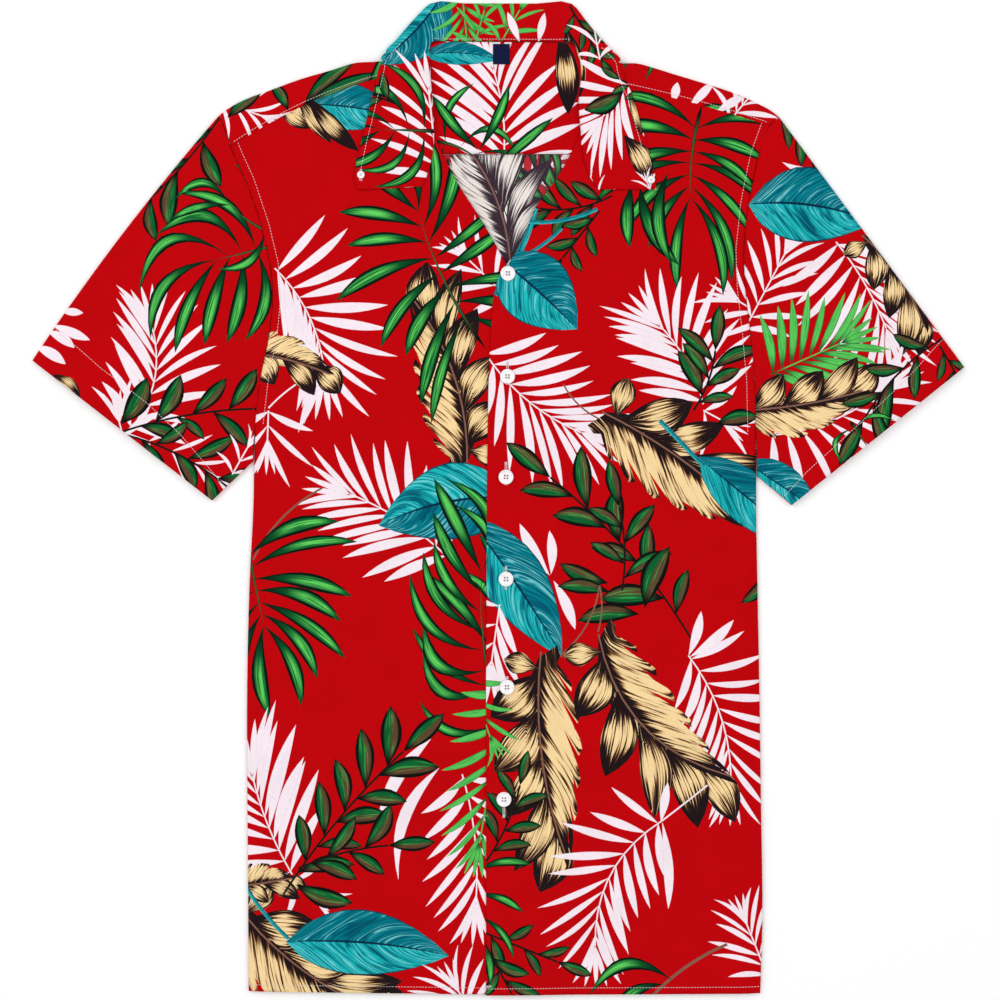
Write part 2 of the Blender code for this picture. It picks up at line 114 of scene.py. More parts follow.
def finer(rows, parts):
    """More rows of numbers, on a smooth curve through the given ones. The first three are a place."""
    rows = np.array(rows, float)
    gaps = np.maximum(np.linalg.norm(np.diff(rows[:, :3], axis=0), axis=1), 1e-6)
    slopes = np.diff(rows, axis=0) / gaps[:, None]
    tangents = np.empty_like(rows)
    tangents[0], tangents[-1] = slopes[0], slopes[-1]
    before, after = gaps[:-1, None], gaps[1:, None]
    tangents[1:-1] = (slopes[:-1] * after + slopes[1:] * before) / (before + after)
    made = []
    for i, gap in enumerate(gaps):
        for step in range(parts):
            u = step / parts
            ends = rows[i] * (2 * u**3 - 3 * u**2 + 1) + rows[i + 1] * (3 * u**2 - 2 * u**3)
            pull = tangents[i] * (u**3 - 2 * u**2 + u) + tangents[i + 1] * (u**3 - u**2)
            made.append(ends + pull * gap)
    made.append(rows[-1])
    return np.array(made)


def finer_sheet(columns, down, across):
    """Columns of (x, y, z, flat x, flat y) with more rows and, between two of one length, more columns."""
    columns = [finer(column, down) for column in columns]
    made = []
    start = 0
    while start < len(columns):
        end = start
        while end + 1 < len(columns) and len(columns[end + 1]) == len(columns[start]):
            end += 1
        if end > start:
            block = np.array(columns[start : end + 1])
            rows = [finer(block[:, i], across) for i in range(block.shape[1])]
            made += list(np.stack(rows, axis=1))
        else:
            made.append(columns[start])
        start = end + 1
    return made


# Cloth that faces sideways, its normal's height below this, belongs to a fold's outer line.
FOLD_FACING = 0.5


class Form:
    """The sheet's shape: where a point of the flat cut lies on the laid shirt, and which way it faces."""

    def __init__(self, columns, outward=1):
        self.outward = outward
        self.points = np.vstack(columns)
        starts = np.cumsum([0] + [len(column) for column in columns])
        self.triangles, sides, across = [], {}, set()
        for i, (left, right) in enumerate(zip(columns, columns[1:])):
            for k in range(min(len(left), len(right)) - 1):
                quad = (starts[i] + k, starts[i + 1] + k, starts[i + 1] + k + 1, starts[i] + k + 1)
                self.triangles += [(quad[0], quad[1], quad[2]), (quad[0], quad[2], quad[3])]
                across |= {(quad[0], quad[1]), (quad[3], quad[2])}
                for a, b in zip(quad, quad[1:] + quad[:1]):
                    key = (min(a, b), max(a, b))
                    sides[key] = sides.get(key, 0) + 1
        self.edge = [key for key, uses in sides.items() if uses == 1]
        self.flat = self.points[:, 3:5]
        corners = self.flat[np.array(self.triangles)]
        first, second = corners[:, 1] - corners[:, 0], corners[:, 2] - corners[:, 0]
        turned = first[:, 0] * second[:, 1] - first[:, 1] * second[:, 0]
        self.triangles = [t if s > 0 else t[::-1] for t, s in zip(self.triangles, turned) if abs(s) > 1e-6]
        self.area = float(np.abs(turned).sum() / 2)
        places = self.points[np.array(self.triangles)][:, :, :3]
        facing = np.cross(places[:, 1] - places[:, 0], places[:, 2] - places[:, 0])
        self.normals = np.zeros((len(self.points), 3))
        for corner in range(3):
            np.add.at(self.normals, np.array(self.triangles)[:, corner], facing)
        self.normals /= np.maximum(np.linalg.norm(self.normals, axis=1), 1e-9)[:, None]
        steep = np.abs(self.normals[:, 2]) < FOLD_FACING
        self.folds = [(a, b) for a, b in sorted(across) if steep[a] and steep[b]]
        flat_points = [Vector((x, y, 0)) for x, y in self.flat]
        self.tree = BVHTree.FromPolygons(flat_points, self.triangles)

    def holds(self, x, y):
        return self.tree.ray_cast(Vector((x, y, 1)), Vector((0, 0, -1)))[2] is not None

    def place(self, x, y):
        """The place and the facing on the middle of the wall for a point of the flat cut."""
        near, _, index, _ = self.tree.find_nearest(Vector((x, y, 0)))
        corners = self.triangles[index]
        flat = [Vector((*self.flat[i], 0)) for i in corners]
        place = barycentric_transform(near, *flat, *[Vector(self.points[i, :3]) for i in corners])
        facing = barycentric_transform(near, *flat, *[Vector(self.normals[i]) for i in corners])
        return place, facing.normalized() * self.outward


def near_run(points, a, b):
    """How far each point is from the straight run from a to b, and at which share of the run."""
    share = np.clip(((points - a) @ (b - a)) / max(((b - a) ** 2).sum(), 1e-9), 0, 1)
    return np.linalg.norm(points - a - share[:, None] * (b - a), axis=1), share


class Surface:
    """The cloth's outer face: the form with its creases, rolled edges and small unevenness."""

    def __init__(self, form, creases=(), *, ripple, seed):
        self.form, self.creases, self.ripple, self.seed = form, creases, ripple, seed

    def heights(self, flat):
        made = np.zeros(len(flat))
        for x0, y0, x1, y1, width, height in self.creases:
            distance, share = near_run(flat, np.array((x0, y0)), np.array((x1, y1)))
            made += height * np.exp(-((distance / width) ** 2)) * np.sin(np.pi * share) ** CREASE_FADE
        for i, (x, y) in enumerate(flat):
            broad = noise.noise(Vector((x / BROAD_WAVES[0], y / BROAD_WAVES[1], self.seed)))
            small = noise.noise(Vector((x / SMALL_WAVES[0], y / SMALL_WAVES[1], self.seed + SMALL_SHIFT)))
            made[i] += self.ripple * (broad + SMALL_SHARE * small)
        seam = np.full(len(flat), 1e9)
        for i, j in self.form.edge:
            seam = np.minimum(seam, near_run(flat, self.form.flat[i], self.form.flat[j])[0])
        return made - SEAM_ROLL * np.exp(-((seam / SEAM_ROLL_WIDTH) ** 2))

    def carry(self, flat, lift=0.0):
        """Places on the cloth's outer face, in metres, for points of the flat cut."""
        flat = np.asarray(flat, float)
        made = []
        for (x, y), height in zip(flat, self.heights(flat)):
            place, facing = self.form.place(x, y)
            place += facing * (WALL / 2 + height * abs(facing.z) + lift)
            place.z = max(place.z, 0)
            made.append((place + Vector(SHIFT)) * MM)
        return made


# How the bands of a layer of ink join: it lies where all of them do, or where any does.
ALL, ANY = "MULTIPLY", "MAXIMUM"
# The printing inks, with colours as red, green and blue from 0 to 255: the colour of an ink's sheen, its
# ground, and the layers on the ground. A layer has its colour, its strength, how its bands join, and its
# bands: what each follows on the leaf, where it begins and where it is full.
INKS = {
    "red": ((190, 20, 26), (190, 1, 8), ()),
    "white": ((240, 226, 234), (247, 233, 241), (
        ((232, 160, 176), 1, ALL, (("edge", 0.86, 1.1),)),
    )),
    "green": ((40, 130, 60), (5, 36, 22), (
        ((12, 100, 46), 1, ALL, (("along", 0.1, 0.5),)),
        ((100, 214, 96), 1, ALL, (
            ("along", 0.3, 0.56), ("along", 0.95, 0.76), ("edge", 0.7, 0.1), ("marks", 0.38, 0.56),
        )),
        ((8, 60, 34), 1, ALL, (("along", 0.86, 1.0),)),
        ((10, 20, 16), 1, ALL, (("edge", 0.52, 0.74),)),
    )),
    "lime": ((92, 190, 92), (92, 200, 92), (
        ((24, 124, 56), 1, ALL, (("marks", 0.52, 0.68),)),
        ((14, 84, 40), 1, ALL, (("along", 0.3, 0.04),)),
        ((16, 60, 30), 1, ALL, (("edge", 0.74, 0.95),)),
    )),
    "teal": ((30, 130, 140), (26, 180, 184), (
        ((0, 124, 138), 1, ALL, (("across", -0.05, 0.05),)),
        ((0, 92, 112), 1, ALL, (("marks", 0.46, 0.32),)),
        ((0, 66, 88), 0.65, ALL, (("veins", 0.3, 0.95),)),
        ((132, 214, 218), 0.7, ALL, (("veins", -0.45, -0.95), ("marks", 0.46, 0.62))),
        ((6, 40, 66), 1, ALL, (("edge", 0.045, 0.02),)),
        ((6, 44, 66), 1, ALL, (("edge", 0.94, 0.98),)),
    )),
    "cream": ((230, 200, 150), (248, 217, 160), (
        ((146, 98, 58), 1, ALL, (("dryness", 0.54, 0.8),)),
        ((30, 18, 22), 1, ALL, (("dryness", 0.74, 1.0),)),
    )),
    "blade": ((230, 200, 150), (248, 217, 160), (
        ((146, 98, 58), 1, ALL, (("dryness", 1.46, 1.7),)),
        ((30, 18, 22), 1, ALL, (("dryness", 1.64, 1.88),)),
    )),
    "sprig": ((60, 100, 60), (92, 66, 46), (
        ((10, 94, 46), 1, ALL, (("across", -0.15, 0.15),)),
        ((64, 168, 76), 0.75, ALL, (("marks", 0.52, 0.66), ("edge", 0.8, 0.3))),
        ((16, 14, 14), 1, ANY, (("along", 0.34, 0.08), ("along", 0.82, 1.0), ("edge", 0.5, 0.76))),
    )),
    "dark": ((60, 50, 50), (34, 22, 20), ()),
    "twig": ((132, 92, 76), (132, 92, 76), ()),
}
# How the veins of a torn leaf slant, as a share of its length.
VEIN_SLANT = 0.3
# A leaf's brush marks: how many fit along it and across it, how fine they are, and how they slant with its
# veins, as a share of the leaf and as a power of the distance from its rib.
MARKS = {
    "green": (2.2, 6.0, 3.0, 0, 1), "lime": (2.5, 6.0, 3.0, 0, 1), "sprig": (2.0, 6.0, 3.0, 0, 1),
    "teal": (13.0, 0.9, 2.0, 0.3, 1.3), "cream": (1.8, 12.0, 4.0, 0, 1),
    "blade": (52.0, 1.5, 4.0, VEIN_SLANT, 1),
}
# How far apart two leaves' marks are taken from the noise.
LEAVES_APART = 60.0
# The fine veins of the blue-green leaf: how many waves they have along it, and how far the marks bend them.
VEINS = {"teal": (150.0, 26.0)}
# How dry the dead leaves are: the weight of their marks, what is taken off it, and bands, each with what it
# follows, where it begins and is full, its weight, and what the leaf's own shade adds to that.
DRYNESS = {
    "cream": (3.4, 1.36, (
        ("edge", 0.55, 1.0, 0.5, 0.2), ("along", 0.45, 0.95, 0.1, 1.2), ("along", 0.55, 0.05, 0.45, 0.9),
    )),
    "blade": (2.8, 0, (
        ("edge", 0.34, 0.0, 0.75, 0), ("edge", 0.8, 1.05, 0.4, 0), ("along", 0.72, 0.98, 1.6, 0),
        ("along", 0.2, 0.0, 0.6, 0),
    )),
}
# The wrong side of the cloth: how strong its colours stay, those of the dead leaves, how light it is, and
# the violet that it fades towards.
WRONG_SIDE_STRENGTH, WRONG_SIDE_DRY, WRONG_SIDE_LIGHT = 0.97, 0.22, 0.92
WRONG_SIDE_TINT, WRONG_SIDE_FADE = (200, 140, 190), 0.05
# The weave: its noise across and along the threads, for each metre, the noise's range and the range of light
# that it gives, a painted shade that darkens the colour where the threads lie low. The ink's slow clouds have
# the same, as the ink's own uneven tone.
THREADS_ACROSS, THREADS_ALONG, THREADS_LIGHT = 2600, 260, (0.6, 1.4, 0.91, 1.05)
CLOUDS, CLOUDS_TONE = 34.0, (0.3, 0.7, 0.95, 1.03)


def colour(red, green, blue):
    values = [c / 255 for c in (red, green, blue)]
    return (*[((c + 0.055) / 1.055) ** 2.4 if c > 0.04 else c / 12.92 for c in values], 1)


def fill(tree, made, inputs):
    """Gives a node's inputs their values, or links them where a value is another node's output."""
    for key, value in dict(inputs).items():
        if isinstance(value, bpy.types.NodeSocket):
            tree.links.new(value, made.inputs[key])
        else:
            made.inputs[key].default_value = value


def node(tree, kind, inputs=(), **settings):
    """A new node's first output."""
    made = tree.nodes.new(kind)
    for name, value in settings.items():
        setattr(made, name, value)
    fill(tree, made, inputs)
    return made.outputs[0]


def new_material(name):
    """A material with its node tree, its shader and the object's own coordinates."""
    made = bpy.data.materials.new(name)
    made.use_nodes = True
    tree = made.node_tree
    return made, tree, tree.nodes["Principled BSDF"], node(tree, "ShaderNodeTexCoord").node.outputs["Object"]


def math_of(tree, operation, a, b=0.0):
    return node(tree, "ShaderNodeMath", {0: a, 1: b}, operation=operation)


def band(tree, value, low, high):
    """0 below low and 1 above high, softly."""
    ends = {0: value, 1: low, 2: high, 3: 0.0, 4: 1.0}
    return node(tree, "ShaderNodeMapRange", ends, interpolation_type="SMOOTHSTEP")


def tinted(tree, first, second, share):
    return node(tree, "ShaderNodeMixRGB", {0: share, 1: first, 2: second})


def changed(tree, value, low, high, least, most):
    """The value's range from low to high, moved to the one from least to most."""
    return node(tree, "ShaderNodeMapRange", {0: value, 1: low, 2: high, 3: least, 4: most})


def parts_of(tree, layer):
    """The two numbers of the mesh's own map of this name."""
    split = node(tree, "ShaderNodeSeparateXYZ", {0: node(tree, "ShaderNodeUVMap", uv_map=layer)}).node
    return split.outputs[0], split.outputs[1]


def leaf_colour(tree, ink):
    """The colour of one ink. A leaf's own map runs from 0 to 1 along it and from -1 to 1 across it."""
    _, ground, layers = INKS[ink]
    if not layers:
        return colour(*ground)
    along, across = parts_of(tree, "leaf")
    tone, shade = parts_of(tree, "tone")
    follows = {"along": along, "across": across, "edge": math_of(tree, "ABSOLUTE", across)}
    if ink in MARKS:
        marks_along, marks_across, detail, slant, curve = MARKS[ink]
        bend = math_of(tree, "MULTIPLY", math_of(tree, "POWER", follows["edge"], curve), slant)
        vein = math_of(tree, "SUBTRACT", along, bend)
        places = {
            0: math_of(tree, "MULTIPLY", vein, marks_along),
            1: math_of(tree, "MULTIPLY", across, marks_across),
            2: math_of(tree, "MULTIPLY", tone, LEAVES_APART),
        }
        place = node(tree, "ShaderNodeCombineXYZ", places)
        marks = node(tree, "ShaderNodeTexNoise", {"Vector": place, "Scale": 1.0, "Detail": detail})
        follows["marks"] = marks
    if ink in VEINS:
        waves, bending = VEINS[ink]
        straight = math_of(tree, "MULTIPLY", vein, waves)
        phase = math_of(tree, "ADD", straight, math_of(tree, "MULTIPLY", marks, bending))
        follows["veins"] = math_of(tree, "SINE", phase)
    if ink in DRYNESS:
        weight, less, bands = DRYNESS[ink]
        dryness = math_of(tree, "SUBTRACT", math_of(tree, "MULTIPLY", marks, weight), less)
        for what, low, high, own, by_shade in bands:
            weight = math_of(tree, "ADD", math_of(tree, "MULTIPLY", shade, by_shade), own)
            part = math_of(tree, "MULTIPLY", band(tree, follows[what], low, high), weight)
            dryness = math_of(tree, "ADD", dryness, part)
        follows["dryness"] = dryness
    body = colour(*ground)
    for over, strength, join, bands in layers:
        shares = [band(tree, follows[what], low, high) for what, low, high in bands]
        share = shares[0]
        for other in shares[1:]:
            share = math_of(tree, join, share, other)
        body = tinted(tree, body, colour(*over), math_of(tree, "MULTIPLY", share, strength))
    return body


def cotton(name, ink, wrong_side=False):
    """Printed plain-weave cotton: the ink, with painted shade where the weave lies low and slow clouds of
    its own uneven tone, and the threads' own relief.
    """
    made, tree, shader, place = new_material(name)
    threads = []
    for x, y in ((THREADS_ACROSS, THREADS_ALONG), (THREADS_ALONG, THREADS_ACROSS)):
        laid = node(tree, "ShaderNodeMapping", {0: place, 3: (x, y, THREADS_ALONG)})
        threads.append(node(tree, "ShaderNodeTexNoise", {"Vector": laid, "Scale": 1.0, "Detail": 1.0}))
    weave = math_of(tree, "ADD", threads[0], threads[1])
    clouds = node(tree, "ShaderNodeTexNoise", {"Vector": place, "Scale": CLOUDS, "Detail": 2.0})
    printed = leaf_colour(tree, ink)
    if wrong_side:
        strength = WRONG_SIDE_DRY if ink in DRYNESS else WRONG_SIDE_STRENGTH
        faded = {"Color": printed, "Saturation": strength, "Value": WRONG_SIDE_LIGHT}
        printed = node(tree, "ShaderNodeHueSaturation", faded)
        printed = tinted(tree, printed, colour(*WRONG_SIDE_TINT), WRONG_SIDE_FADE)
    # Painted shade: the colour darkens where the weave's relief lies low. The clouds are the ink's own uneven
    # tone.
    thread_light = changed(tree, weave, *THREADS_LIGHT)
    shade_and_clouds = math_of(tree, "MULTIPLY", thread_light, changed(tree, clouds, *CLOUDS_TONE))
    fill(tree, shader, {
        "Base Color": node(tree, "ShaderNodeMixRGB", {0: 1.0, 1: printed, 2: shade_and_clouds}, blend_type="MULTIPLY"),
        "Normal": node(tree, "ShaderNodeBump", {"Strength": 0.35, "Distance": 0.0002, "Height": weave}),
        "Roughness": 0.85, "Specular IOR Level": 0.05,
        "Sheen Weight": 0.1, "Sheen Roughness": 0.5, "Sheen Tint": colour(*INKS[ink][0]),
    })
    return made


cottons = [cotton("cotton_" + ink, ink) for ink in INKS]
cottons += [cotton("cotton_" + ink + "_wrong_side", ink, wrong_side=True) for ink in INKS]


# How blunt a blade's outline is, how many steps each side has, and the least half width that its own map
# is measured against.
BLUNTNESS, BLADE_STEPS, THINNEST = 0.85, 9, 0.12


class Leaf:
    """One printed shape: a blade with a straight run of its own, bowed sideways, widest at one place."""

    def __init__(self, ink, x, y, angle, length, width, bow, widest, tone=(0, 0)):
        self.ink, self.length, self.width = ink, length, width
        self.bow, self.widest, self.tone = bow, widest, tone
        self.base = np.array((x, y))
        self.ahead = np.array((math.cos(math.radians(angle)), math.sin(math.radians(angle))))
        self.left = np.array((-self.ahead[1], self.ahead[0]))

    def half_width(self, along):
        if self.widest == 0:
            return np.full_like(along, self.width / 2)
        power = math.log(0.5) / math.log(self.widest)
        return self.width / 2 * np.sin(np.pi * np.clip(along, 0.0, 1.0) ** power) ** BLUNTNESS

    def outline(self):
        along = np.linspace(0, 1, BLADE_STEPS + 1)
        middle = self.base + np.outer(along * self.length, self.ahead)
        middle = middle + np.outer(self.bow * 4 * along * (1 - along), self.left)
        half = np.outer(self.half_width(along), self.left)
        if self.widest == 0:
            return np.vstack([middle + half, (middle - half)[::-1]])
        return np.vstack([middle[:1], (middle + half)[1:-1], middle[-1:], (middle - half)[-2:0:-1]])

    def own_place(self, points):
        """Along and across the blade for points of the flat cut."""
        away = points - self.base
        along = (away @ self.ahead) / self.length
        side = away @ self.left - self.bow * 4 * along * (1 - along)
        return np.clip(along, 0, 1), np.clip(side / np.maximum(self.half_width(along), THINNEST), -1, 1)

    def heading(self, along):
        """The blade's direction in degrees at this share of its length, and the place there."""
        turn = self.ahead * self.length + self.left * self.bow * 4 * (1 - 2 * along)
        place = self.base + self.ahead * self.length * along + self.left * self.bow * 4 * along * (1 - along)
        return math.degrees(math.atan2(turn[1], turn[0])), place


# How far the leaflets of each kind stray from their turn in degrees, and in length, width and bow.
STRAY = {
    "frond": {"turn": (-4, 4), "length": (0.85, 1.06), "width": (0.85, 1.15), "bow": (0.3, 1.4)},
    "palm": {"turn": (-7, 7), "length": (0.74, 1.06), "width": (0.85, 1.15), "bow": (0.15, 0.27)},
    "plume": {"turn": (-4, 4), "length": (1.0, 1.3), "width": (0.8, 1.1)},
    "sprig": {"turn": (-14, 14), "length": (0.78, 1.18), "width": (0.29, 0.37), "bow": (0.03, 0.1)},
}
# How a frond's leaflets stand: their width by ink as a share of the frond's size and how it tapers, their
# angle to the rib at its base and at its tip, how far each bows and where it is widest.
LEAFLET_WIDTH, LEAFLET_TAPER = {"white": 0.118, "lime": 0.135}, 0.4
BASE_SPREAD, TIP_SPREAD, SPREAD_CURVE, LEAFLET_BOW, LEAFLET_WIDEST = 72, 24, 0.8, 2.5, 0.5
# Where along the rib they begin and how much of it they take, how their length swells along it, and the turns
# and the share of size of the three at its tip.
FROND_FROM, FROND_RUN, FROND_SWELLING = 0.03, 0.9, (0.66, 0.34, 0.15, 0.75)
TIP_TURNS, TIP_SHARE, RIB_WIDTH = (-16, 15, 0), 0.55, 1.2


def stray(draw, kind, what):
    return draw.uniform(*STRAY[kind][what])


def swelling(along, least, more, start, run):
    """A length that swells on a part of a sine's arch."""
    return least + more * math.sin(math.pi * (start + run * along))


def frond(ink, x, y, angle, length, size, pairs, bow, lean, draw):
    """A palm leaf: narrow leaflets on both sides of a thin rib, turned by lean to one side."""
    rib = Leaf(ink, x, y, angle, length, RIB_WIDTH, bow, 0)
    made = []
    for i in range(pairs):
        along = FROND_FROM + FROND_RUN * i / max(1, pairs - 1)
        heading, place = rib.heading(along)
        reach = size * swelling(along, *FROND_SWELLING)
        spread = BASE_SPREAD + (TIP_SPREAD - BASE_SPREAD) * along**SPREAD_CURVE
        for side in (1, -1):
            turn = heading + side * (spread + stray(draw, "frond", "turn")) + lean * (1 - along)
            long = reach * stray(draw, "frond", "length")
            wide = size * LEAFLET_WIDTH[ink] * stray(draw, "frond", "width") * (1 - LEAFLET_TAPER * along)
            bent = -side * LEAFLET_BOW * stray(draw, "frond", "bow")
            made.append(Leaf(ink, *place, turn, long, wide, bent, LEAFLET_WIDEST, (draw.random(), 0)))
    heading, place = rib.heading(1)
    long, wide = size * TIP_SHARE, size * LEAFLET_WIDTH[ink] * TIP_SHARE
    for turn in TIP_TURNS:
        made.append(Leaf(ink, *place, heading + turn, long, wide, 0, LEAFLET_WIDEST))
    return made + [rib]


# How a palm's long leaflets stand: width as a share of their length, spread from the stem at its base
# and tip, the stretch of the stem that carries them, how far those of a hanging one turn, in degrees, how
# they arch and where they are widest. The stem's width, and where it is widest.
PALM_WIDTH, PALM_BASE_SPREAD, PALM_TIP_SPREAD, PALM_FROM, PALM_TO = 0.13, 100, 12, 0.26, 0.97
PALM_DROOP, PALM_ARCH, PALM_WIDEST, PALM_STEM_WIDTH, PALM_STEM_WIDEST = 50, 0.5, 0.6, 3.2, 0.12


def palm(x, y, angle, length, size, pairs, bow, droop, draw):
    """A green palm leaf: long leaflets that arch over towards droop as if they hung, unless that is 0."""
    stem = Leaf("sprig", x, y, angle, length, PALM_STEM_WIDTH, bow, PALM_STEM_WIDEST, (0.3, 0))
    made = []
    for i in range(pairs):
        along = PALM_FROM + (PALM_TO - PALM_FROM) * i / max(1, pairs - 1)
        heading, place = stem.heading(along)
        spread = PALM_BASE_SPREAD + (PALM_TIP_SPREAD - PALM_BASE_SPREAD) * i / max(1, pairs - 1)
        for side in (1, -1):
            turn = heading + side * (spread + stray(draw, "palm", "turn"))
            pull = math.sin(math.radians(droop - turn)) if droop else 0
            long = size * stray(draw, "palm", "length")
            wide = size * PALM_WIDTH * stray(draw, "palm", "width")
            bent = (side * PALM_ARCH - pull) * long * stray(draw, "palm", "bow")
            turn += pull * PALM_DROOP
            made.append(Leaf("green", *place, turn, long, wide, bent, PALM_WIDEST, (draw.random(), 0)))
    draw.shuffle(made)
    return made + [stem]


# A torn leaf: where it is widest, how broad it already is at its base, as a share of its width, how deep its
# slits are, and how much of it they run along. Then where its outline starts, and where it comes back along
# the rib, as shares along the leaf and across it; between them lie the lobes, each ending in a slit.
TORN_WIDEST, SQUARE_BASE, SLIT_DEPTH, SLIT_FROM, SLIT_RUN = 0.38, 0.27, (0.15, 0.42), 0.05, 0.88
TORN_START = ((0.02, 0), (-0.02, 0.75), (0.03, 1.0))
TORN_END = ((0.97, 0.9), (1, 0), (0.8, -0.06), (0.6, -0.06), (0.4, -0.06), (0.2, -0.06))


class TornHalf(Leaf):
    """Half of a dry leaf, from the rib to an outer edge with slits that follow its veins."""

    def __init__(self, x, y, angle, length, width, bow, side, slits, draw):
        super().__init__("blade", x, y, angle, length, width, bow, TORN_WIDEST, (draw.random(), 0))
        self.side = side
        self.border = list(TORN_START)
        for i in range(slits):
            start, tip = (SLIT_FROM + SLIT_RUN * (i + extra) / slits for extra in (0, 1))
            depth = draw.uniform(*SLIT_DEPTH)
            self.border += [(start + 0.01, 0.9), (mix((start,), (tip,), 0.5)[0], 1.04), (tip - 0.03, 1.09)]
            self.border += [(tip, 1.0), (tip - VEIN_SLANT * (depth + 0.06), 1 - depth)]
        self.border += TORN_END

    def half_width(self, along):
        return np.maximum(super().half_width(along), self.width * SQUARE_BASE * (1 - along))

    def outline(self):
        along, across = np.array(self.border).T
        sideways = self.bow * 4 * along * (1 - along) + across * self.side * self.half_width(along)
        return self.base + np.outer(along * self.length, self.ahead) + np.outer(sideways, self.left)


# How a plume's split lobes stand: their spread at its base and at its tip, the stretch of the rib that
# carries them, their width as a share of the step between them, how many there are for each slit of the
# whole side, how their length swells, how they bow, and how far the last ones may reach beyond the leaf.
SPLIT_SPREAD, SPLIT_FROM, SPLIT_RUN, SPLIT_WIDTH, SPLIT_SHARE = (44, 22), 0.1, 0.72, 1.15, 0.9
SPLIT_SWELLING, SPLIT_BOW, SPLIT_REACH, STEP_SHARE = (0.74, 0.26, 0.14, 0.74), 0.1, (1.1, 0.35), 0.76
# How much more than their spread they turn for their length, where they are widest, and their shade.
SPLIT_LEAN, SPLIT_WIDEST, SPLIT_SHADE = 2, 0.55, (0.6, 1)
# The rib's length as a share and its width in millimetres; the leaf under it, with its length and width as
# shares, where it is widest and its shade; and how wide the torn side is as a share.
PLUME_RIB, PLUME_CORE, CORE_WIDEST, CORE_SHADE, TORN_SHARE = (0.94, 1.4), (0.9, 0.3), 0.4, 0.8, 0.92
# The loose lobe at the base: where along the rib it starts, how it turns, and its length, width, widest place
# and shade.
LOOSE_AT, LOOSE_TURN, LOOSE_LENGTH, LOOSE_WIDTH = 0.08, (98, 118), 0.44, 0.27
LOOSE_WIDEST, LOOSE_SHADE = 0.62, 0.5


def plume(x, y, angle, length, size, slits, bow, whole, draw):
    """A dry banana-like leaf: one side almost whole, the other split into dark-tipped lobes."""
    rib = Leaf("twig", x, y, angle, length * PLUME_RIB[0], PLUME_RIB[1], bow, 0)
    core = (length * PLUME_CORE[0], size * PLUME_CORE[1])
    made = [Leaf("cream", x, y, angle, *core, bow, CORE_WIDEST, (draw.random(), CORE_SHADE))]
    lobes = max(2, round(slits * SPLIT_SHARE))
    for i in reversed(range(lobes)):
        along = SPLIT_FROM + SPLIT_RUN * i / (lobes - 1)
        heading, place = rib.heading(along)
        spread = SPLIT_SPREAD[0] + (SPLIT_SPREAD[1] - SPLIT_SPREAD[0]) * along + stray(draw, "plume", "turn")
        long = size / 2 / math.sin(math.radians(spread + SPLIT_LEAN)) * swelling(along, *SPLIT_SWELLING)
        long *= stray(draw, "plume", "length")
        long = min(long, (1 - along) * length * SPLIT_REACH[0] + size * SPLIT_REACH[1])
        wide = length * STEP_SHARE / lobes * SPLIT_WIDTH * stray(draw, "plume", "width")
        turn = heading - whole * spread
        tone = (draw.random(), draw.uniform(*SPLIT_SHADE))
        made.append(Leaf("cream", *place, turn, long, wide, whole * long * SPLIT_BOW, SPLIT_WIDEST, tone))
    made.append(TornHalf(x, y, angle, length, size * TORN_SHARE, bow, whole, slits, draw))
    heading, place = rib.heading(LOOSE_AT)
    turn = heading - whole * draw.uniform(*LOOSE_TURN)
    loose = (size * LOOSE_LENGTH, size * LOOSE_WIDTH)
    made.append(Leaf("cream", *place, turn, *loose, 0, LOOSE_WIDEST, (draw.random(), LOOSE_SHADE)))
    return made + [rib]


# A sprig: the stretch of its twig that carries leaves, how far the leaves of one side stand behind those
# of the other, their angle, the twig's width, and the width of the leaf at its tip.
SPRIG_FROM, SPRIG_RUN, SPRIG_STAGGER, SPRIG_SPREAD = 0.14, 0.84, 0.42, 46
TWIG_WIDTH, SPRIG_TIP_WIDTH, SPRIG_WIDEST = 1.7, 0.33, 0.56
# Where a broad leaf and a single one are widest, and the width up to which a single one is a stem.
BROAD_WIDEST, SINGLE_WIDEST, STEM_WIDTH = 0.44, 0.55, 6


def sprig(x, y, angle, length, size, pairs, bow, draw):
    """A dark twig with oval leaves, half green and half brown, on alternate sides."""
    stem = Leaf("dark", x, y, angle, length, TWIG_WIDTH, bow, 0)
    made = []
    for i in range(pairs):
        for side in (1, -1):
            along = SPRIG_FROM + SPRIG_RUN * (i + (SPRIG_STAGGER if side > 0 else 0)) / pairs
            heading, place = stem.heading(along)
            turn = heading + side * (SPRIG_SPREAD + stray(draw, "sprig", "turn"))
            long = size * stray(draw, "sprig", "length")
            bent = -side * long * stray(draw, "sprig", "bow")
            wide = long * stray(draw, "sprig", "width")
            made.append(Leaf("sprig", *place, turn, long, wide, bent, SPRIG_WIDEST, (draw.random(), 0)))
    heading, place = stem.heading(1)
    tip = (size, size * SPRIG_TIP_WIDTH)
    made.append(Leaf("sprig", *place, heading, *tip, 0, SINGLE_WIDEST, (draw.random(), 0)))
    return [stem] + made


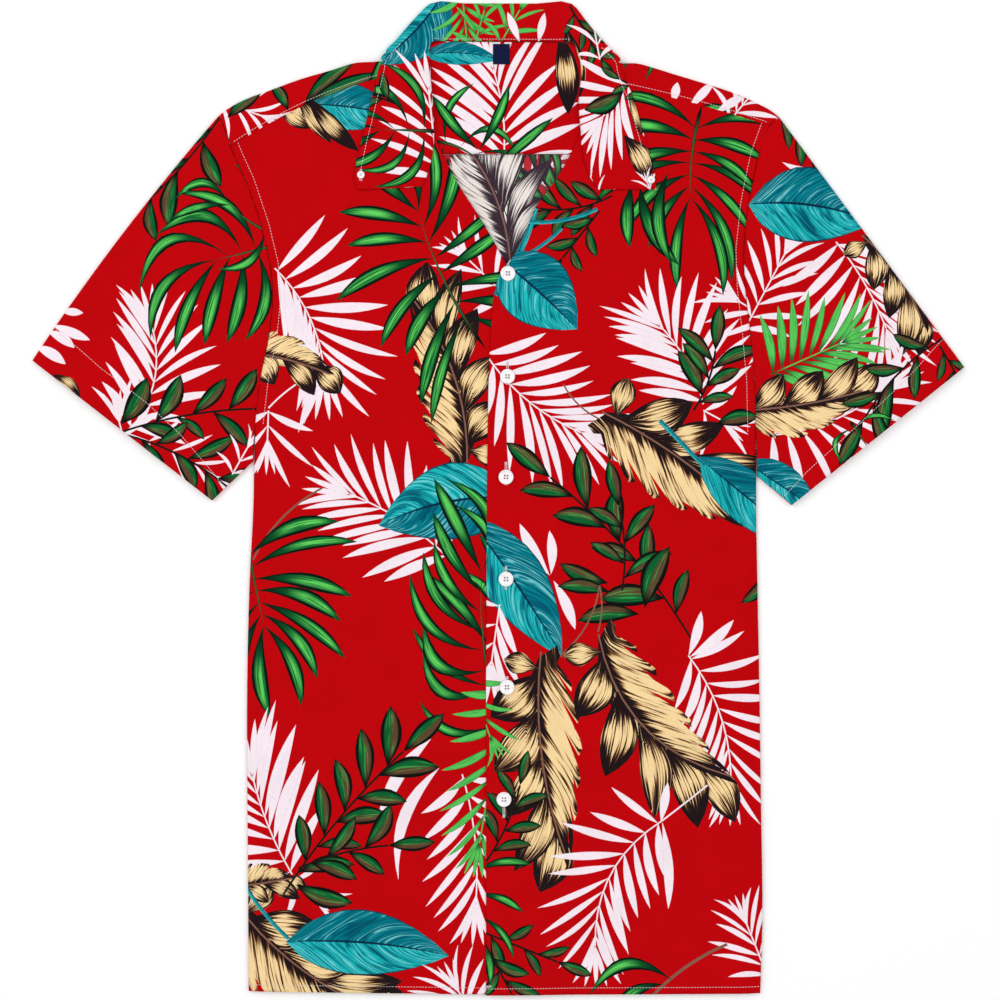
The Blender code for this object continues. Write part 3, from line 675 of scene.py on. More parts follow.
def printed_leaves(rows, seed):
    """The leaves of a table's rows. A row's last three numbers are 0 where it doesn't give them."""
    made = []
    for i, (kind, x, y, angle, length, size, *more) in enumerate(rows):
        count, bow, lean = (*more, 0, 0, 0)[:3]
        place = (x, y, angle, length, size)
        draw = random.Random(seed * 100 + i)
        if kind in ("frond", "lime"):
            made += frond("white" if kind == "frond" else kind, *place, count, bow, lean, draw)
        elif kind in ("palm", "plume"):
            made += {"palm": palm, "plume": plume}[kind](*place, count, bow, lean, draw)
        elif kind == "broad":
            made.append(Leaf("teal", *place, bow, BROAD_WIDEST, (draw.random(), 0)))
        elif kind == "sprig":
            made += sprig(*place, count, bow, draw)
        elif size > STEM_WIDTH:
            ink = "sprig" if kind == "sprig_leaf" else kind
            made.append(Leaf(ink, *place, bow, SINGLE_WIDEST, (draw.random(), lean)))
        else:
            made.append(Leaf(kind, *place, bow, 0))
    return made


def inside(points, polygon):
    """Which points lie in the polygon."""
    found = np.zeros(len(points), bool)
    for a, b in zip(polygon, np.roll(polygon, -1, axis=0)):
        crosses = (a[1] > points[:, 1]) != (b[1] > points[:, 1])
        slope = (b[0] - a[0]) / (b[1] - a[1] if b[1] != a[1] else 1e-12)
        found ^= crosses & (points[:, 0] < a[0] + slope * (points[:, 1] - a[1]))
    return found


def linked(name, data):
    """A new object in the scene."""
    made = bpy.data.objects.new(name, data)
    bpy.context.scene.collection.objects.link(made)
    return made


def thickened(piece, thickness):
    """Gives a piece its thickness, inwards from its outer face."""
    shell = piece.modifiers.new("thickness", "SOLIDIFY")
    shell.thickness, shell.offset = thickness * MM, -1
    return shell


def evaluated_copy(made, name):
    """The object with its modifiers applied, as a plain mesh; the first one is removed."""
    graph = bpy.context.evaluated_depsgraph_get()
    mesh = bpy.data.meshes.new_from_object(made.evaluated_get(graph))
    mesh.name = name
    bpy.data.objects.remove(made, do_unlink=True)
    return linked(name, mesh)


def laid_on_table(piece):
    """Nothing of the piece reaches below the table's face."""
    for point in piece.data.vertices:
        point.co.z = max(point.co.z, SHIFT[2] * MM)
    return piece


# How far the rows of points stand apart, as a share of the points' spacing in a row, and how near to each
# other two points are one.
ROW_SHARE, ONE_POINT = 0.87, 1e-4


def printed_cloth(name, surface, leaves, spacing):
    """A thin shell of printed cotton on the surface, its faces cut along the edges of the print."""
    form = surface.form
    low, high = form.flat.min(axis=0), form.flat.max(axis=0)
    points = [Vector(point) for point in form.flat]
    edges = form.edge + form.folds
    kept = []
    for leaf in leaves:
        shape = leaf.outline()
        if (shape.max(axis=0) < low).any() or (shape.min(axis=0) > high).any():
            continue
        start = len(points)
        points += [Vector(point) for point in shape]
        edges += [(start + i, start + (i + 1) % len(shape)) for i in range(len(shape))]
        kept.append((leaf, shape))
    for row, y in enumerate(np.arange(low[1], high[1], spacing * ROW_SHARE)):
        for x in np.arange(low[0] + (row % 2) * spacing / 2, high[0], spacing):
            if form.holds(x, y):
                points.append(Vector((x, y)))
    flat, _, faces, _, _, _ = delaunay_2d_cdt(points, edges, [], 0, ONE_POINT, False)
    flat = np.array([tuple(point) for point in flat])
    faces = np.array([face for face in faces])
    middles = flat[faces].mean(axis=1)
    faces = faces[[form.holds(x, y) for x, y in middles]]
    middles = flat[faces].mean(axis=1)
    top = np.full(len(faces), -1)
    for i, (leaf, shape) in enumerate(kept):
        near = ((middles > shape.min(axis=0)) & (middles < shape.max(axis=0))).all(axis=1).nonzero()[0]
        top[near[inside(middles[near], shape)]] = i
    used, faces = np.unique(faces, return_inverse=True)
    faces = faces.reshape(-1, 3)
    flat = flat[used]
    if form.outward < 0:
        faces = faces[:, ::-1]
    mesh = bpy.data.meshes.new(name)
    mesh.from_pydata(surface.carry(flat), [], faces.tolist())
    leaf_map, tone_map = np.zeros((2, len(faces), 3, 2))
    inks = np.zeros(len(faces), int)
    for i, (leaf, _) in enumerate(kept):
        own = (top == i).nonzero()[0]
        if len(own):
            along, across = leaf.own_place(flat[faces[own]].reshape(-1, 2))
            leaf_map[own] = np.stack([along, across], axis=1).reshape(-1, 3, 2)
            tone_map[own] = leaf.tone
            inks[own] = list(INKS).index(leaf.ink)
    for layer, values in (("leaf", leaf_map), ("tone", tone_map)):
        mesh.uv_layers.new(name=layer).data.foreach_set("uv", values.reshape(-1))
    mesh.polygons.foreach_set("material_index", inks)
    mesh.polygons.foreach_set("use_smooth", np.ones(len(faces), bool))
    for material in cottons:
        mesh.materials.append(material)
    piece = linked(name, mesh)
    thickened(piece, CLOTH_THICKNESS).material_offset = len(INKS)
    return laid_on_table(evaluated_copy(piece, name))


def finished(piece, node_name):
    """Attaches the piece to the root and hides the solid that it stands for."""
    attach(piece, "root")
    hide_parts(node_name)


def back_sheet():
    left, right = outline("left")[:-1], outline("right")[:-1]
    left[-1] = (left[-1][0], left[-1][1] - GAP / 2)
    right[-1] = (right[-1][0], right[-1][1] - GAP / 2)
    columns = []
    for share in BACK_COLUMNS:
        column = []
        for row, (a, b) in enumerate(zip(left, right)):
            x, y = mix(a, b, share)
            if row == 0:
                y -= HEM_BOW * 4 * share * (1 - share)
            column.append((x, y, FLOOR, x, y))
        columns.append(column)
    return finer_sheet(columns, down=4, across=4)


# Print: kind, x, y, angle in degrees, length, size of its leaves or its width, count, sideways bow, and
# how it leans, droops, is whole or is shaded.
BACK_PRINT = (
    ("frond", 6, 243, 34, 56, 40, 6),
    ("green", 6, 281, -52, 51, 15, 0, -6.4),
    ("green", 35, 284, -68, 45, 12, 0, -4.8),
    ("palm", 54, 228, 128, 40, 62, 4, 0, 110),
    ("plume", 10, 175, 111, 138, 86, 7, -12.8, 1),
    ("frond", -159, 135, -58, 94, 78, 9, -8),
    ("broad", -63, 63, -30, 96, 56, 0, 6.4),
    ("plume", 97, 63, 60, 128, 72, 5, 6.4, 1),
    ("sprig", -159, -97, 60, 160, 37, 6, 6.4),
    ("palm", 1, -81, 160, 96, 86, 6, 12.8, -90),
    ("frond", 153, -49, 200, 104, 74, 9, 6.4),
    ("broad", 81, -161, -120, 120, 59, 0, 6.4),
    ("plume", -95, -193, -60, 136, 72, 5, 6.4, -1),
    ("frond", 49, -273, -140, 120, 72, 10, 6.4),
    ("sprig", 161, -321, 120, 128, 37, 5, 6.4),
    ("palm", -159, -369, 40, 96, 86, 6, 12.8, -90),
    ("frond", 161, 159, 230, 72, 69, 7),
    ("palm", 193, -393, 130, 88, 77, 5, 6.4, -90),
    ("frond", -159, -241, 20, 112, 74, 9, 6.4),
    ("broad", 161, -193, 170, 104, 56, 0, 6.4),
    ("plume", 49, -185, 60, 120, 67, 5, 6.4, 1),
    ("sprig", 17, -17, 10, 136, 37, 5, 4.8),
    ("palm", 185, 31, 200, 88, 77, 5, 6.4, -90),
    ("frond", -95, 199, -40, 104, 70, 8, 6.4),
    ("sprig", -175, 95, -60, 112, 35, 4, 4.8),
    ("broad", -159, 215, -20, 96, 51, 0, 4.8),
    ("lime", 113, 199, 60, 88, 56, 8, 4.8),
)
back_form = Form(back_sheet(), outward=-1)
back_surface = Surface(back_form, ripple=0, seed=1)
back = printed_cloth("back_panel", back_surface, printed_leaves(BACK_PRINT, seed=1), spacing=5.0)
finished(back, "back")

# The yoke
# The shoulder piece, of the same cotton. It lies on the table behind, wraps over both shoulders and
# comes down to the fronts, where it is sewn with a row of stitching.
FOLD_STEPS, FOLD = 5, (TOP - FLOOR) / 2
# Where its columns of points stand, as shares of the way from the armhole to the neck.
COLUMNS = (0, 0.015, 0.04, 0.14, 0.28, 0.44, 0.6, 0.72, 0.8, 0.87, 1)
BACK_SEAM = {"left": ((-211.8, 276.2), (-70, 276.5)), "right": ((208.8, 277), (82, 276.7))}
SHOULDER = {
    "left": (
        (-223.5, 307.8), (-211.5, 317), (-186.4, 326.4), (-158.7, 336.6), (-112, 350), (-97, 350.2),
        (-68, 354),
    ),
    "right": (
        (225, 306.2), (217.6, 312.2), (194.6, 323.6), (171.7, 331.2), (127.6, 344.6), (112, 349),
        (100, 349), (80, 352.5),
    ),
}
# The rows behind the shoulder, the row in which the armhole bends, and how fast that bend fades inwards.
YOKE_ROWS = {"left": (0, 0.2025, 0.4, 0.6, 0.8), "right": (0, 0.34, 0.68, 0.79, 0.89)}
BEND_ROW, BEND_FADE = {"left": 1, "right": 2}, 4
NECK_EDGE = ((-56, 364.6), (-48, 366.2), (-30, 366.2), (0, 366), (32, 365.8), (52, 365.4), (62, 363.4))
NECK_SEAM_Y = 276.6
# Where the yoke climbs over the collar's fall, along the shirt and across it, and how far above a layer.
CLIMB_FROM, CLIMB_TO, CLIMB_FULL, CLIMB_NONE, COLLAR_RAISE = 322, 342, 108, 136, 0.2
# Where each front's seam with the yoke ends at the neck, and how far that seam bows.
FRONT_TOP = {"left": (-67, 343), "right": (78, 335)}
YOKE_SEAM_BOW = {"left": 9.5, "right": 3}
# The seam allowance turned in below the fronts: how far it reaches and how deep it lies.
ALLOWANCE, ALLOWANCE_DEPTH = 6, 1.1


def along_line(line, share):
    """The point at this share of the line's length."""
    lengths = [math.dist(a, b) for a, b in zip(line, line[1:])]
    left = share * sum(lengths)
    for a, b, length in zip(line, line[1:], lengths):
        if left <= length:
            return mix(a, b, left / length)
        left -= length
    return line[-1]


def over_collar_fall(x, y):
    """How far the layers rise where the collar's fall lies under the yoke."""
    along_y = smooth((y - CLIMB_FROM) / (CLIMB_TO - CLIMB_FROM))
    across_x = smooth((CLIMB_NONE - abs(x)) / (CLIMB_NONE - CLIMB_FULL))
    return (LAYER + COLLAR_RAISE) * along_y * across_x


def fold_over(base, edge, height, radius, lower_first=True, wrap=180):
    """A turn of cloth whose outside reaches the edge, from the flat part below to the one above."""
    out = (Vector(edge) - Vector(base)).normalized()
    centre = Vector(edge) - out * (radius + WALL / 2)
    turn = []
    for step in range(FOLD_STEPS + 1):
        angle = math.radians(180 - wrap * (1 - step / FOLD_STEPS))
        point = centre + out * radius * math.sin(angle)
        turn.append((point.x, point.y, height - radius * math.cos(angle)))
    return turn if lower_first else turn[::-1]


def yoke_plan(side, share):
    """The yoke's column in plan, from the back seam up to the shoulder's fold, and that fold's edge."""
    armhole = armhole_line(side, GAP / 2)
    seam, edge = along_line(BACK_SEAM[side], share), along_line(SHOULDER[side], share)
    if share == 0:
        seam, edge = armhole[-3], armhole[-1]
    rows, at = YOKE_ROWS[side], YOKE_ROWS[side][BEND_ROW[side]]
    bend = Vector(armhole[-2]) - Vector(mix(armhole[-3], armhole[-1], at))
    plan = []
    for row in rows:
        tent = row / at if row < at else (1 - row) / (1 - at)
        moved = Vector(mix(seam, edge, row)) + bend * tent * (1 - share) ** BEND_FADE
        plan.append(tuple(moved))
    plan[0] = (plan[0][0], plan[0][1] + GAP / 2)
    return plan, edge


def neck_plan(point):
    """A column in the middle of the yoke, up to the neck seam."""
    share = (point[0] - NECK_EDGE[0][0]) / (NECK_EDGE[-1][0] - NECK_EDGE[0][0])
    rows = mix(YOKE_ROWS["left"], YOKE_ROWS["right"], share)
    seam = (point[0], NECK_SEAM_Y + GAP / 2)
    return [mix(seam, point, row) for row in (*rows, 1)]


def yoke_column(side, share):
    """From the back seam up over the shoulder's fold and down below the front seam."""
    plan, edge = yoke_plan(side, share)
    turn = fold_over(plan[-1], edge, FLOOR + FOLD + over_collar_fall(*edge), FOLD)
    x, y = mix(outline(side)[-1], FRONT_TOP[side], share)
    end = (x, y + YOKE_SEAM_BOW[side] * 4 * share * (1 - share) + GAP / 2)
    middle = mix(turn[-1][:2], end, 0.5)
    column = [(x, y, FLOOR + over_collar_fall(x, y)) for x, y in plan] + turn
    column += [(x, y, TOP + over_collar_fall(x, y)) for x, y in (middle, end)]
    column += [(end[0], end[1] - step, column[-1][2] - ALLOWANCE_DEPTH) for step in (1, ALLOWANCE)]
    shown = len(plan) + FOLD_STEPS
    made = []
    for i, (x, y, z) in enumerate(column):
        fold_y = column[shown][1]
        beyond = FOLD * math.pi * (shown - i) / FOLD_STEPS if i >= len(plan) else FOLD * math.pi
        made.append((x, y, z, x, y if i >= shown else fold_y + beyond + max(0, fold_y - y)))
    return made


def yoke_sheet():
    left = [yoke_column("left", share) for share in COLUMNS]
    right = [yoke_column("right", share) for share in reversed(COLUMNS)]
    neck = []
    for point in NECK_EDGE:
        share = (point[0] - left[-1][0][0]) / (right[0][0][0] - left[-1][0][0])
        seam_y = mix((left[-1][0][4],), (right[0][0][4],), share)[0]
        plan = neck_plan(point)
        neck.append([(x, y, FLOOR + over_collar_fall(x, y), x, seam_y - (y - plan[0][1])) for x, y in plan])
    return [column for part in (left, neck, right) for column in finer_sheet(part, down=3, across=3)]


YOKE_PRINT = (
    ("frond", -234, 323, -20, 48, 35, 5),
    ("sprig_leaf", -217, 305, 38, 35, 12, 0, 1.6),
    ("sprig_leaf", -168, 311, 122, 27, 10.4, 0, -1.6),
    ("sprig_leaf", -157, 315, 22, 69, 12, 0, 2.4),
    ("sprig_leaf", -156, 315, 40, 54, 12, 0, 4),
    ("green", -106, 326, 64, 37, 10.4, 0, -2.4),
    ("green", 153, 310, 2, 35, 8.0, 0, 2.4),
    ("white", 152, 313, 46, 30, 7.2),
    ("white", 140, 318, 78, 16, 7.2),
    ("white", 124, 364, 268, 13, 6.4),
    ("white", 174, 310, 30, 27, 7.2),
    ("frond", 185, 303, 50, 32, 37, 5),
    ("broad", -135, 375, 60, 72, 37, 0, 3.2),
    ("plume", 49, 383, 160, 96, 48, 4, 0, 1),
    ("frond", -63, 423, 20, 80, 56, 7, 3.2),
    ("palm", 129, 407, 200, 64, 64, 4, 0, -90),
    ("sprig", -183, 391, -10, 72, 32, 4),
    ("broad", -23, 391, 170, 72, 37, 0, 3.2),
)
yoke_form = Form(yoke_sheet())
yoke_surface = Surface(yoke_form, ripple=0.12, seed=2)
yoke = printed_cloth("yoke_outer", yoke_surface, printed_leaves(YOKE_PRINT, seed=2), spacing=3.2)
finished(yoke, "yoke")

# The inner yoke
# The second layer of the same shoulder piece, printed side up. It shows inside the open neck,
# sewn to the yoke in the neck seam and in the seam of the back.
INNER_YOKE_INSET = 4


def inner_yoke_sheet():
    plans = []
    for side, shares in (("left", COLUMNS[2:]), ("right", COLUMNS[:1:-1])):
        for share in shares:
            plan, edge = yoke_plan(side, share)
            inset = (Vector(edge) - Vector(plan[-1])).normalized() * INNER_YOKE_INSET
            plans.append(plan + [tuple(Vector(edge) - inset)])
        if side == "left":
            plans += [neck_plan(point) for point in NECK_EDGE]
    low = FLOOR + LAYER
    columns = [[(x, y, low + over_collar_fall(x, y), x, y) for x, y in plan] for plan in plans]
    return finer_sheet(columns, down=3, across=3)


INNER_YOKE_PRINT = (
    ("frond", 3, 262, 95, 83, 74, 9, -4.8),
    ("palm", -55, 287, -24, 48, 53, 4, 4.8, -70),
    ("palm", 17, 236, 126, 56, 67, 3, 8, -80),
    ("cream", 49, 375, -84, 67, 19, 0, 2.4, 1.5),
    ("broad", -60, 356, -4, 61, 19, 0, 3.2),
    ("lime", 81, 259, 200, 40, 27, 4),
)
inner_yoke_form = Form(inner_yoke_sheet())
inner_yoke_surface = Surface(inner_yoke_form, ripple=0.1, seed=3)
inner_yoke = printed_cloth(
    "inner_yoke_layer", inner_yoke_surface, printed_leaves(INNER_YOKE_PRINT, seed=3), spacing=4.0
)
finished(inner_yoke, "inner_yoke")

# The fronts
# Two printed cotton panels with an edge turned back for the buttons, joined to the back at the sides
# and to the yoke above. The one with the buttonholes lies on the other.
FRONT_EDGE = {
    "left": (
        (22, -397), (22, -333), (22, -243), (22, -150), (22, -70), (22, 0), (22, 30), (22, 62),
        (22, 97), (22, 130), (21.5, 157), (3.8, 193), (-13.1, 222.6), (-33, 254), (-49, 286), (-67, 343),
    ),
    "right": (
        (-9.9, -397), (-9.9, -340), (-9.9, -250), (-9.9, -160), (-9.6, -80), (-9.3, -8), (-9.1, 20),
        (-8.6, 55), (-7.8, 95), (-6, 134), (0.5, 178.6), (13, 196), (31, 235), (47.7, 258.6),
        (64, 290), (78, 335),
    ),
}
# For each row from the hem up: its share of the yoke seam's bow, and how far its middle rises. Then the row
# at the underarm, and how deep and how wide the cloth dips along the side seam below it.
ROW_BOW = (0, 0, 0, 0, 0, 0, 0, 0, 0, 0, 0.03, 0.1, 0.3, 0.55, 0.85, 1)
ROW_RISE = (0.3, 0.7, 1.1, 0.9, 1.3, 1.5, 1.2, 1.4, 1.0, 1.2, 1.3, 0.9, 0.2, 0, 0, 0)
UNDERARM_ROW, SIDE_DIP, DIP_WIDTH = 6, 1.5, 0.05
# The share of a row over which the middle's rise begins, and where and over how much it ends.
LIFT_FROM, LIFT_TO, LIFT_SLOPE = 0.16, 0.6, 0.2
# Where the upper front lies fully on the other, across and up the shirt, and where it has come down.
LAP_FULL, LAP_NONE, LAP_TOP, LAP_FADE = 26, 58, 200, 34


def lap(x, y):
    """Rise of the upper front where it lies over the other."""
    beside_it = 1 - smooth((x - LAP_FULL) / (LAP_NONE - LAP_FULL))
    below_the_neck = 1 - smooth((y - LAP_TOP) / LAP_FADE)
    return LAYER * beside_it * below_the_neck


def front_sheet(side):
    columns = []
    last = len(ROW_BOW) - 1
    for share in COLUMNS:
        column = []
        for row in range(len(ROW_BOW)):
            x, y = mix(outline(side)[row], FRONT_EDGE[side][row], share)
            y += YOKE_SEAM_BOW[side] * ROW_BOW[row] * 4 * share * (1 - share)
            if row == last:
                y -= GAP / 2
            middle = smooth(share / LIFT_FROM) * smooth((LIFT_TO - share) / LIFT_SLOPE)
            z = TOP + ROW_RISE[row] * middle + over_collar_fall(x, y)
            if row <= UNDERARM_ROW:
                z -= SIDE_DIP * (1 - smooth(share / DIP_WIDTH))
            if side == "right":
                z += lap(x, y)
            column.append((x, y, z, x, y))
        columns.append(column)
    return finer_sheet(columns, down=4, across=3)


# Soft creases: from x, y to x, y, their width and height.
CREASES = {
    "left": (
        (-150, -380, -140, -60, 16, 0.9), (-90, -390, -104, -180, 14, -0.7), (-60, -120, -96, 120, 18, 0.8),
        (-160, -40, -120, 110, 12, 0.7), (-120, 120, -60, 226, 12, 0.5), (-40, -360, -30, -140, 12, 0.5),
        (-176, 60, -110, -10, 9, -0.6), (-180, 90, -140, 150, 9, 0.7),
    ),
    "right": (
        (150, -380, 146, -90, 16, 0.9), (92, -390, 110, -160, 14, -0.7), (70, -140, 100, 90, 18, 0.8),
        (170, -60, 130, 110, 12, 0.7), (120, 110, 72, 216, 12, 0.5), (60, -370, 56, -150, 12, 0.5),
        (190, 50, 120, -20, 9, -0.6), (192, 90, 150, 160, 9, 0.7),
    ),
}
FRONT_PRINTS = {
    "left": (
        ("broad", -156, 316, -8, 78, 38, 0, 3.2, 0),
        ("cream", -178, 319, -36, 37, 18, 0, 0, 0.8),
        ("cream", -162, 324, -54, 48, 13, 0, 0, 0.8),
        ("cream", -154, 324, -47, 62, 15, 0, -2.4, 1.4),
        ("frond", -179, 185, -64, 90, 75, 10, 8, 30),
        ("white", -184, 73, 36, 48, 1.3, 0, 2.4, 0),
        ("frond", -184, 71, -92, 24, 50, 3, 0, 0),
        ("plume", -207, 118, -14, 78, 42, 3, 3.2, 1),
        ("frond", 8, 161, 136, 45, 48, 4, 0, 0),
        ("plume", -25, 28, 108, 147, 67, 6, -12, 1),
        ("palm", -9, 119, 116, 128, 86, 8, 6.4, -96),
        ("frond", -40, -47, 147, 94, 70, 9, -4.8, 0),
        ("broad", 17, 1, 191, 115, 62, 0, -8, 0),
        ("twig", -141, 9, -134, 80, 1.6, 0, -6.4, 0),
        ("palm", -204, -25, -78, 80, 91, 7, 0, 0),
        ("palm", 5, -202, 98, 88, 77, 3, 6.4, 140),
        ("palm", 3, -185, 97, 131, 85, 7, 6.4, 122),
        ("frond", -165, -300, 112, 85, 83, 9, 3.2, 14),
        ("frond", -165, -305, -30, 16, 42, 2, 0, 0),
        ("frond", -29, -220, -84, 104, 62, 8, 4.8, 0),
        ("white", -96, -271, 62, 90, 10.4, 0, 9.6, 0),
        ("white", -80, -305, 70, 96, 9.6, 0, 12.8, 0),
        ("lime", 7, -149, -100, 128, 51, 9, 0, -10),
        ("plume", -210, -325, -38, 141, 77, 5, -8, -1),
        ("plume", -210, -311, 10, 48, 35, 3, 0, 1),
        ("sprig", -172, -316, 50, 149, 45, 5, 4.8, 0),
        ("sprig", -160, -295, 14, 74, 38, 2, 3.2, 0),
        ("sprig_leaf", -162, -308, -18, 48, 16, 0, -3.2, 0),
        ("broad", -170, -354, -5, 131, 53, 0, 4.8, 0),
        ("teal", -202, -311, -50, 53, 3.2, 0, -1.6, 0),
        ("frond", -20, -418, 116, 27, 48, 5, 0, 0),
    ),
    "right": (
        ("frond", 233, 135, 150, 48, 48, 4, 0, 0),
        ("palm", 163, 316, -97, 77, 80, 7, -3.2, 0),
        ("green", 107, 252, -92, 51, 12, 0, -3.2, 0),
        ("green", 113, 252, -64, 72, 13, 0, -7.2, 0),
        ("green", 136, 262, -88, 74, 12, 0, -9.6, 0),
        ("sprig", 91, 243, 190, 59, 29, 3, 4.8, 0),
        ("sprig", 81, 231, 232, 48, 27, 2, 0, 0),
        ("teal", -2, 163, 66, 77, 5.6, 0, -3.2, 0),
        ("teal", 21, 222, 10, 59, 3.2, 0, -4, 0),
        ("teal", 11, 190, 34, 48, 2.8, 0, -2.4, 0),
        ("broad", 0, 193, -42, 85, 58, 0, 1.6, 0),
        ("frond", -12, 119, -40, 102, 70, 10, -8, 10),
        ("frond", 164, 76, 119, 72, 66, 9, -4.8, 0),
        ("frond", 164, 71, -28, 16, 45, 2, 0, 0),
        ("twig", 52, 92, -40, 48, 1.3, 0, -4.8, 0),
        ("plume", 83, 70, -36, 160, 78, 6, 6.4, -1),
        ("sprig", 156, 71, 70, 51, 37, 3, -3.2, 0),
        ("sprig_leaf", 174, 60, 10, 35, 14, 0, 2.4, 0),
        ("broad", 160, 34, -38, 120, 42, 0, -1.6, 0),
        ("teal", 129, 63, -46, 51, 3.6, 0, 0, 0),
        ("white", 41, -61, 120, 48, 9.6, 0, 1.6, 0),
        ("white", 42, -60, 92, 35, 8.0, 0, -1.6, 0),
        ("white", 44, -65, -66, 43, 8.8, 0, 1.6, 0),
        ("broad", -24, -15, -56, 134, 51, 0, 2.4, 0),
        ("frond", 1, -84, -98, 48, 61, 4, 0, -40),
        ("sprig", 155, -113, 131, 173, 45, 4, -8, 0),
        ("sprig", 99, -73, 92, 67, 38, 2, -3.2, 0),
        ("sprig_leaf", 88, -67, 158, 42, 14, 0, 2.4, 0),
        ("sprig_leaf", 89, -74, 174, 42, 13, 0, -2.4, 0),
        ("sprig_leaf", 117, -87, 68, 53, 19, 0, 4, 0),
        ("sprig_leaf", 113, -92, 186, 50, 16, 0, -4, 0),
        ("twig", 81, -69, -122, 72, 1.3, 0, 8, 0),
        ("twig", 81, -69, -92, 37, 1.3, 0, 2.4, 0),
        ("frond", 152, -125, -72, 110, 58, 10, 9.6, 14),
        ("white", 152, -125, 74, 37, 8.0, 0, -1.6, 0),
        ("white", 153, -126, 40, 46, 8.8, 0, -2.4, 0),
        ("plume", 34, -122, -83, 176, 67, 6, -9.6, 1),
        ("plume", 80, -108, -47, 165, 72, 6, -24, 1),
        ("white", 131, -257, 38, 46, 1.3, 0, 0, 0),
        ("frond", 131, -257, -118, 114, 61, 10, -16, 0),
        ("white", 131, -258, -86, 70, 8.0, 0, 2.4, 0),
        ("white", 130, -258, 80, 32, 7.2, 0, 0, 0),
        ("frond", 216, -383, 112, 48, 43, 6, 0, 0),
        ("sprig", -10, -290, 66, 67, 29, 3, -3.2, 0),
        ("sprig", -15, -345, -22, 67, 30, 2, 0, 0),
        ("sprig", -12, -353, -62, 48, 29, 2, 0, 0),
        ("palm", -20, -279, -86, 74, 53, 4, 0, 0),
        ("twig", 183, -356, -145, 74, 2.4, 0, -4, 0),
        ("green", 139, -385, 190, 67, 11, 0, -19.2, 0),
        ("green", 132, -388, 214, 48, 10.4, 0, -8, 0),
        ("sprig_leaf", 217, -57, 228, 35, 11, 0, 4, 0),
        ("lime", -23, -145, -70, 48, 35, 4, 0, 0),
    ),
}
front_surfaces = {}
for number, side in enumerate(("left", "right")):
    form = Form(front_sheet(side))
    front_surfaces[side] = Surface(form, CREASES[side], ripple=0.3, seed=4 + number)
    leaves = printed_leaves(FRONT_PRINTS[side], seed=4 + number)
    piece = printed_cloth("front_panel_" + side, front_surfaces[side], leaves, spacing=3.0)
    finished(piece, "front_" + side)

# The sleeves
# Each is one piece of the printed cotton sewn into a tube, set into the armhole and laid flat, with
# a turned and stitched hem. Its fold runs along the top.

# Side, the hem's ends at the underarm and at the fold, and how far the sleeve bows outwards.
SLEEVES = (
    ("left", (-229.1, -1.1), (-373.4, 111.4), 4),
    ("right", (234.7, -4.8), (373.3, 106), 0),
)
# Where its rings of points lie from the armhole to the hem, how far it puffs up in the middle and stands open
# at the hem, and how far it keeps from the body at the underarm.
SLEEVE_STEPS = (0, 0.06, 0.25, 0.5, 0.75, 0.93, 1)
SLEEVE_PUFF, HEM_OPENING, UNDERARM_CLEARANCE = 1.4, 1.6, 0.7


def sleeve_sheet(side, under_corner, top_corner, bow):
    """Round the tube from the underarm: up the front, round the top fold and back beneath."""
    armhole = armhole_line(side, -GAP / 2)
    armhole[0] = (armhole[0][0] + math.copysign(UNDERARM_CLEARANCE, armhole[0][0]), armhole[0][1])
    lengths = [math.dist(armhole[0], point) for point in armhole]
    outside = (Vector(top_corner) - Vector(under_corner)).normalized()
    fold = (Vector(top_corner) - Vector(armhole[-1])).normalized()
    columns = []
    for step in SLEEVE_STEPS:
        line = []
        for point, length in zip(armhole, lengths):
            share = length / lengths[-1]
            x, y = mix(point, mix(under_corner, top_corner, share), step)
            push = outside * bow * 4 * step * (1 - step) * share
            line.append((x + push.x, y + push.y))
        top_turn = fold_over(line[-2], line[-1], FLOOR + FOLD, FOLD, lower_first=False)
        under_turn = fold_over(line[1], line[0], FLOOR + FOLD, FOLD)
        inner = line[1:-1]
        edge = (*mix(under_turn[2], under_turn[3], 0.5)[:2], FLOOR + FOLD)
        ring = [edge] + under_turn[3:]
        for i, (x, y) in enumerate(inner):
            middle = math.sin(math.pi * (i + 1) / (len(inner) + 1))
            lifted = SLEEVE_PUFF * math.sin(math.pi * step) + HEM_OPENING * smooth(2 * step - 1)
            ring.append((x, y, TOP + lifted * middle))
        ring += top_turn
        shown = len(under_turn[3:]) + len(inner) + 1
        ring += [(x, y, FLOOR) for x, y in reversed(inner)]
        ring += under_turn[:3] + [edge]
        columns.append(unfolded(ring, shown, fold, outside))
    return columns


def unfolded(ring, shown, fold, outside):
    """The ring with its place in the flat cut, the part past the fold mirrored over it."""
    edge = Vector(ring[shown][:2])
    made = []
    for i, (x, y, z) in enumerate(ring):
        away = Vector((x, y)) - edge
        if i <= shown:
            made.append((x, y, z, x, y))
            continue
        beyond = FOLD * math.pi * min(1, (i - shown) / FOLD_STEPS)
        depth = away.dot(outside_of(fold, outside))
        flat = edge + fold * away.dot(fold) + outside_of(fold, outside) * (beyond - min(0, depth))
        made.append((x, y, z, flat.x, flat.y))
    return made


def outside_of(fold, outside):
    """The direction square to the fold that points away from the arm."""
    square = Vector((-fold.y, fold.x))
    return square if square.dot(outside) > 0 else -square


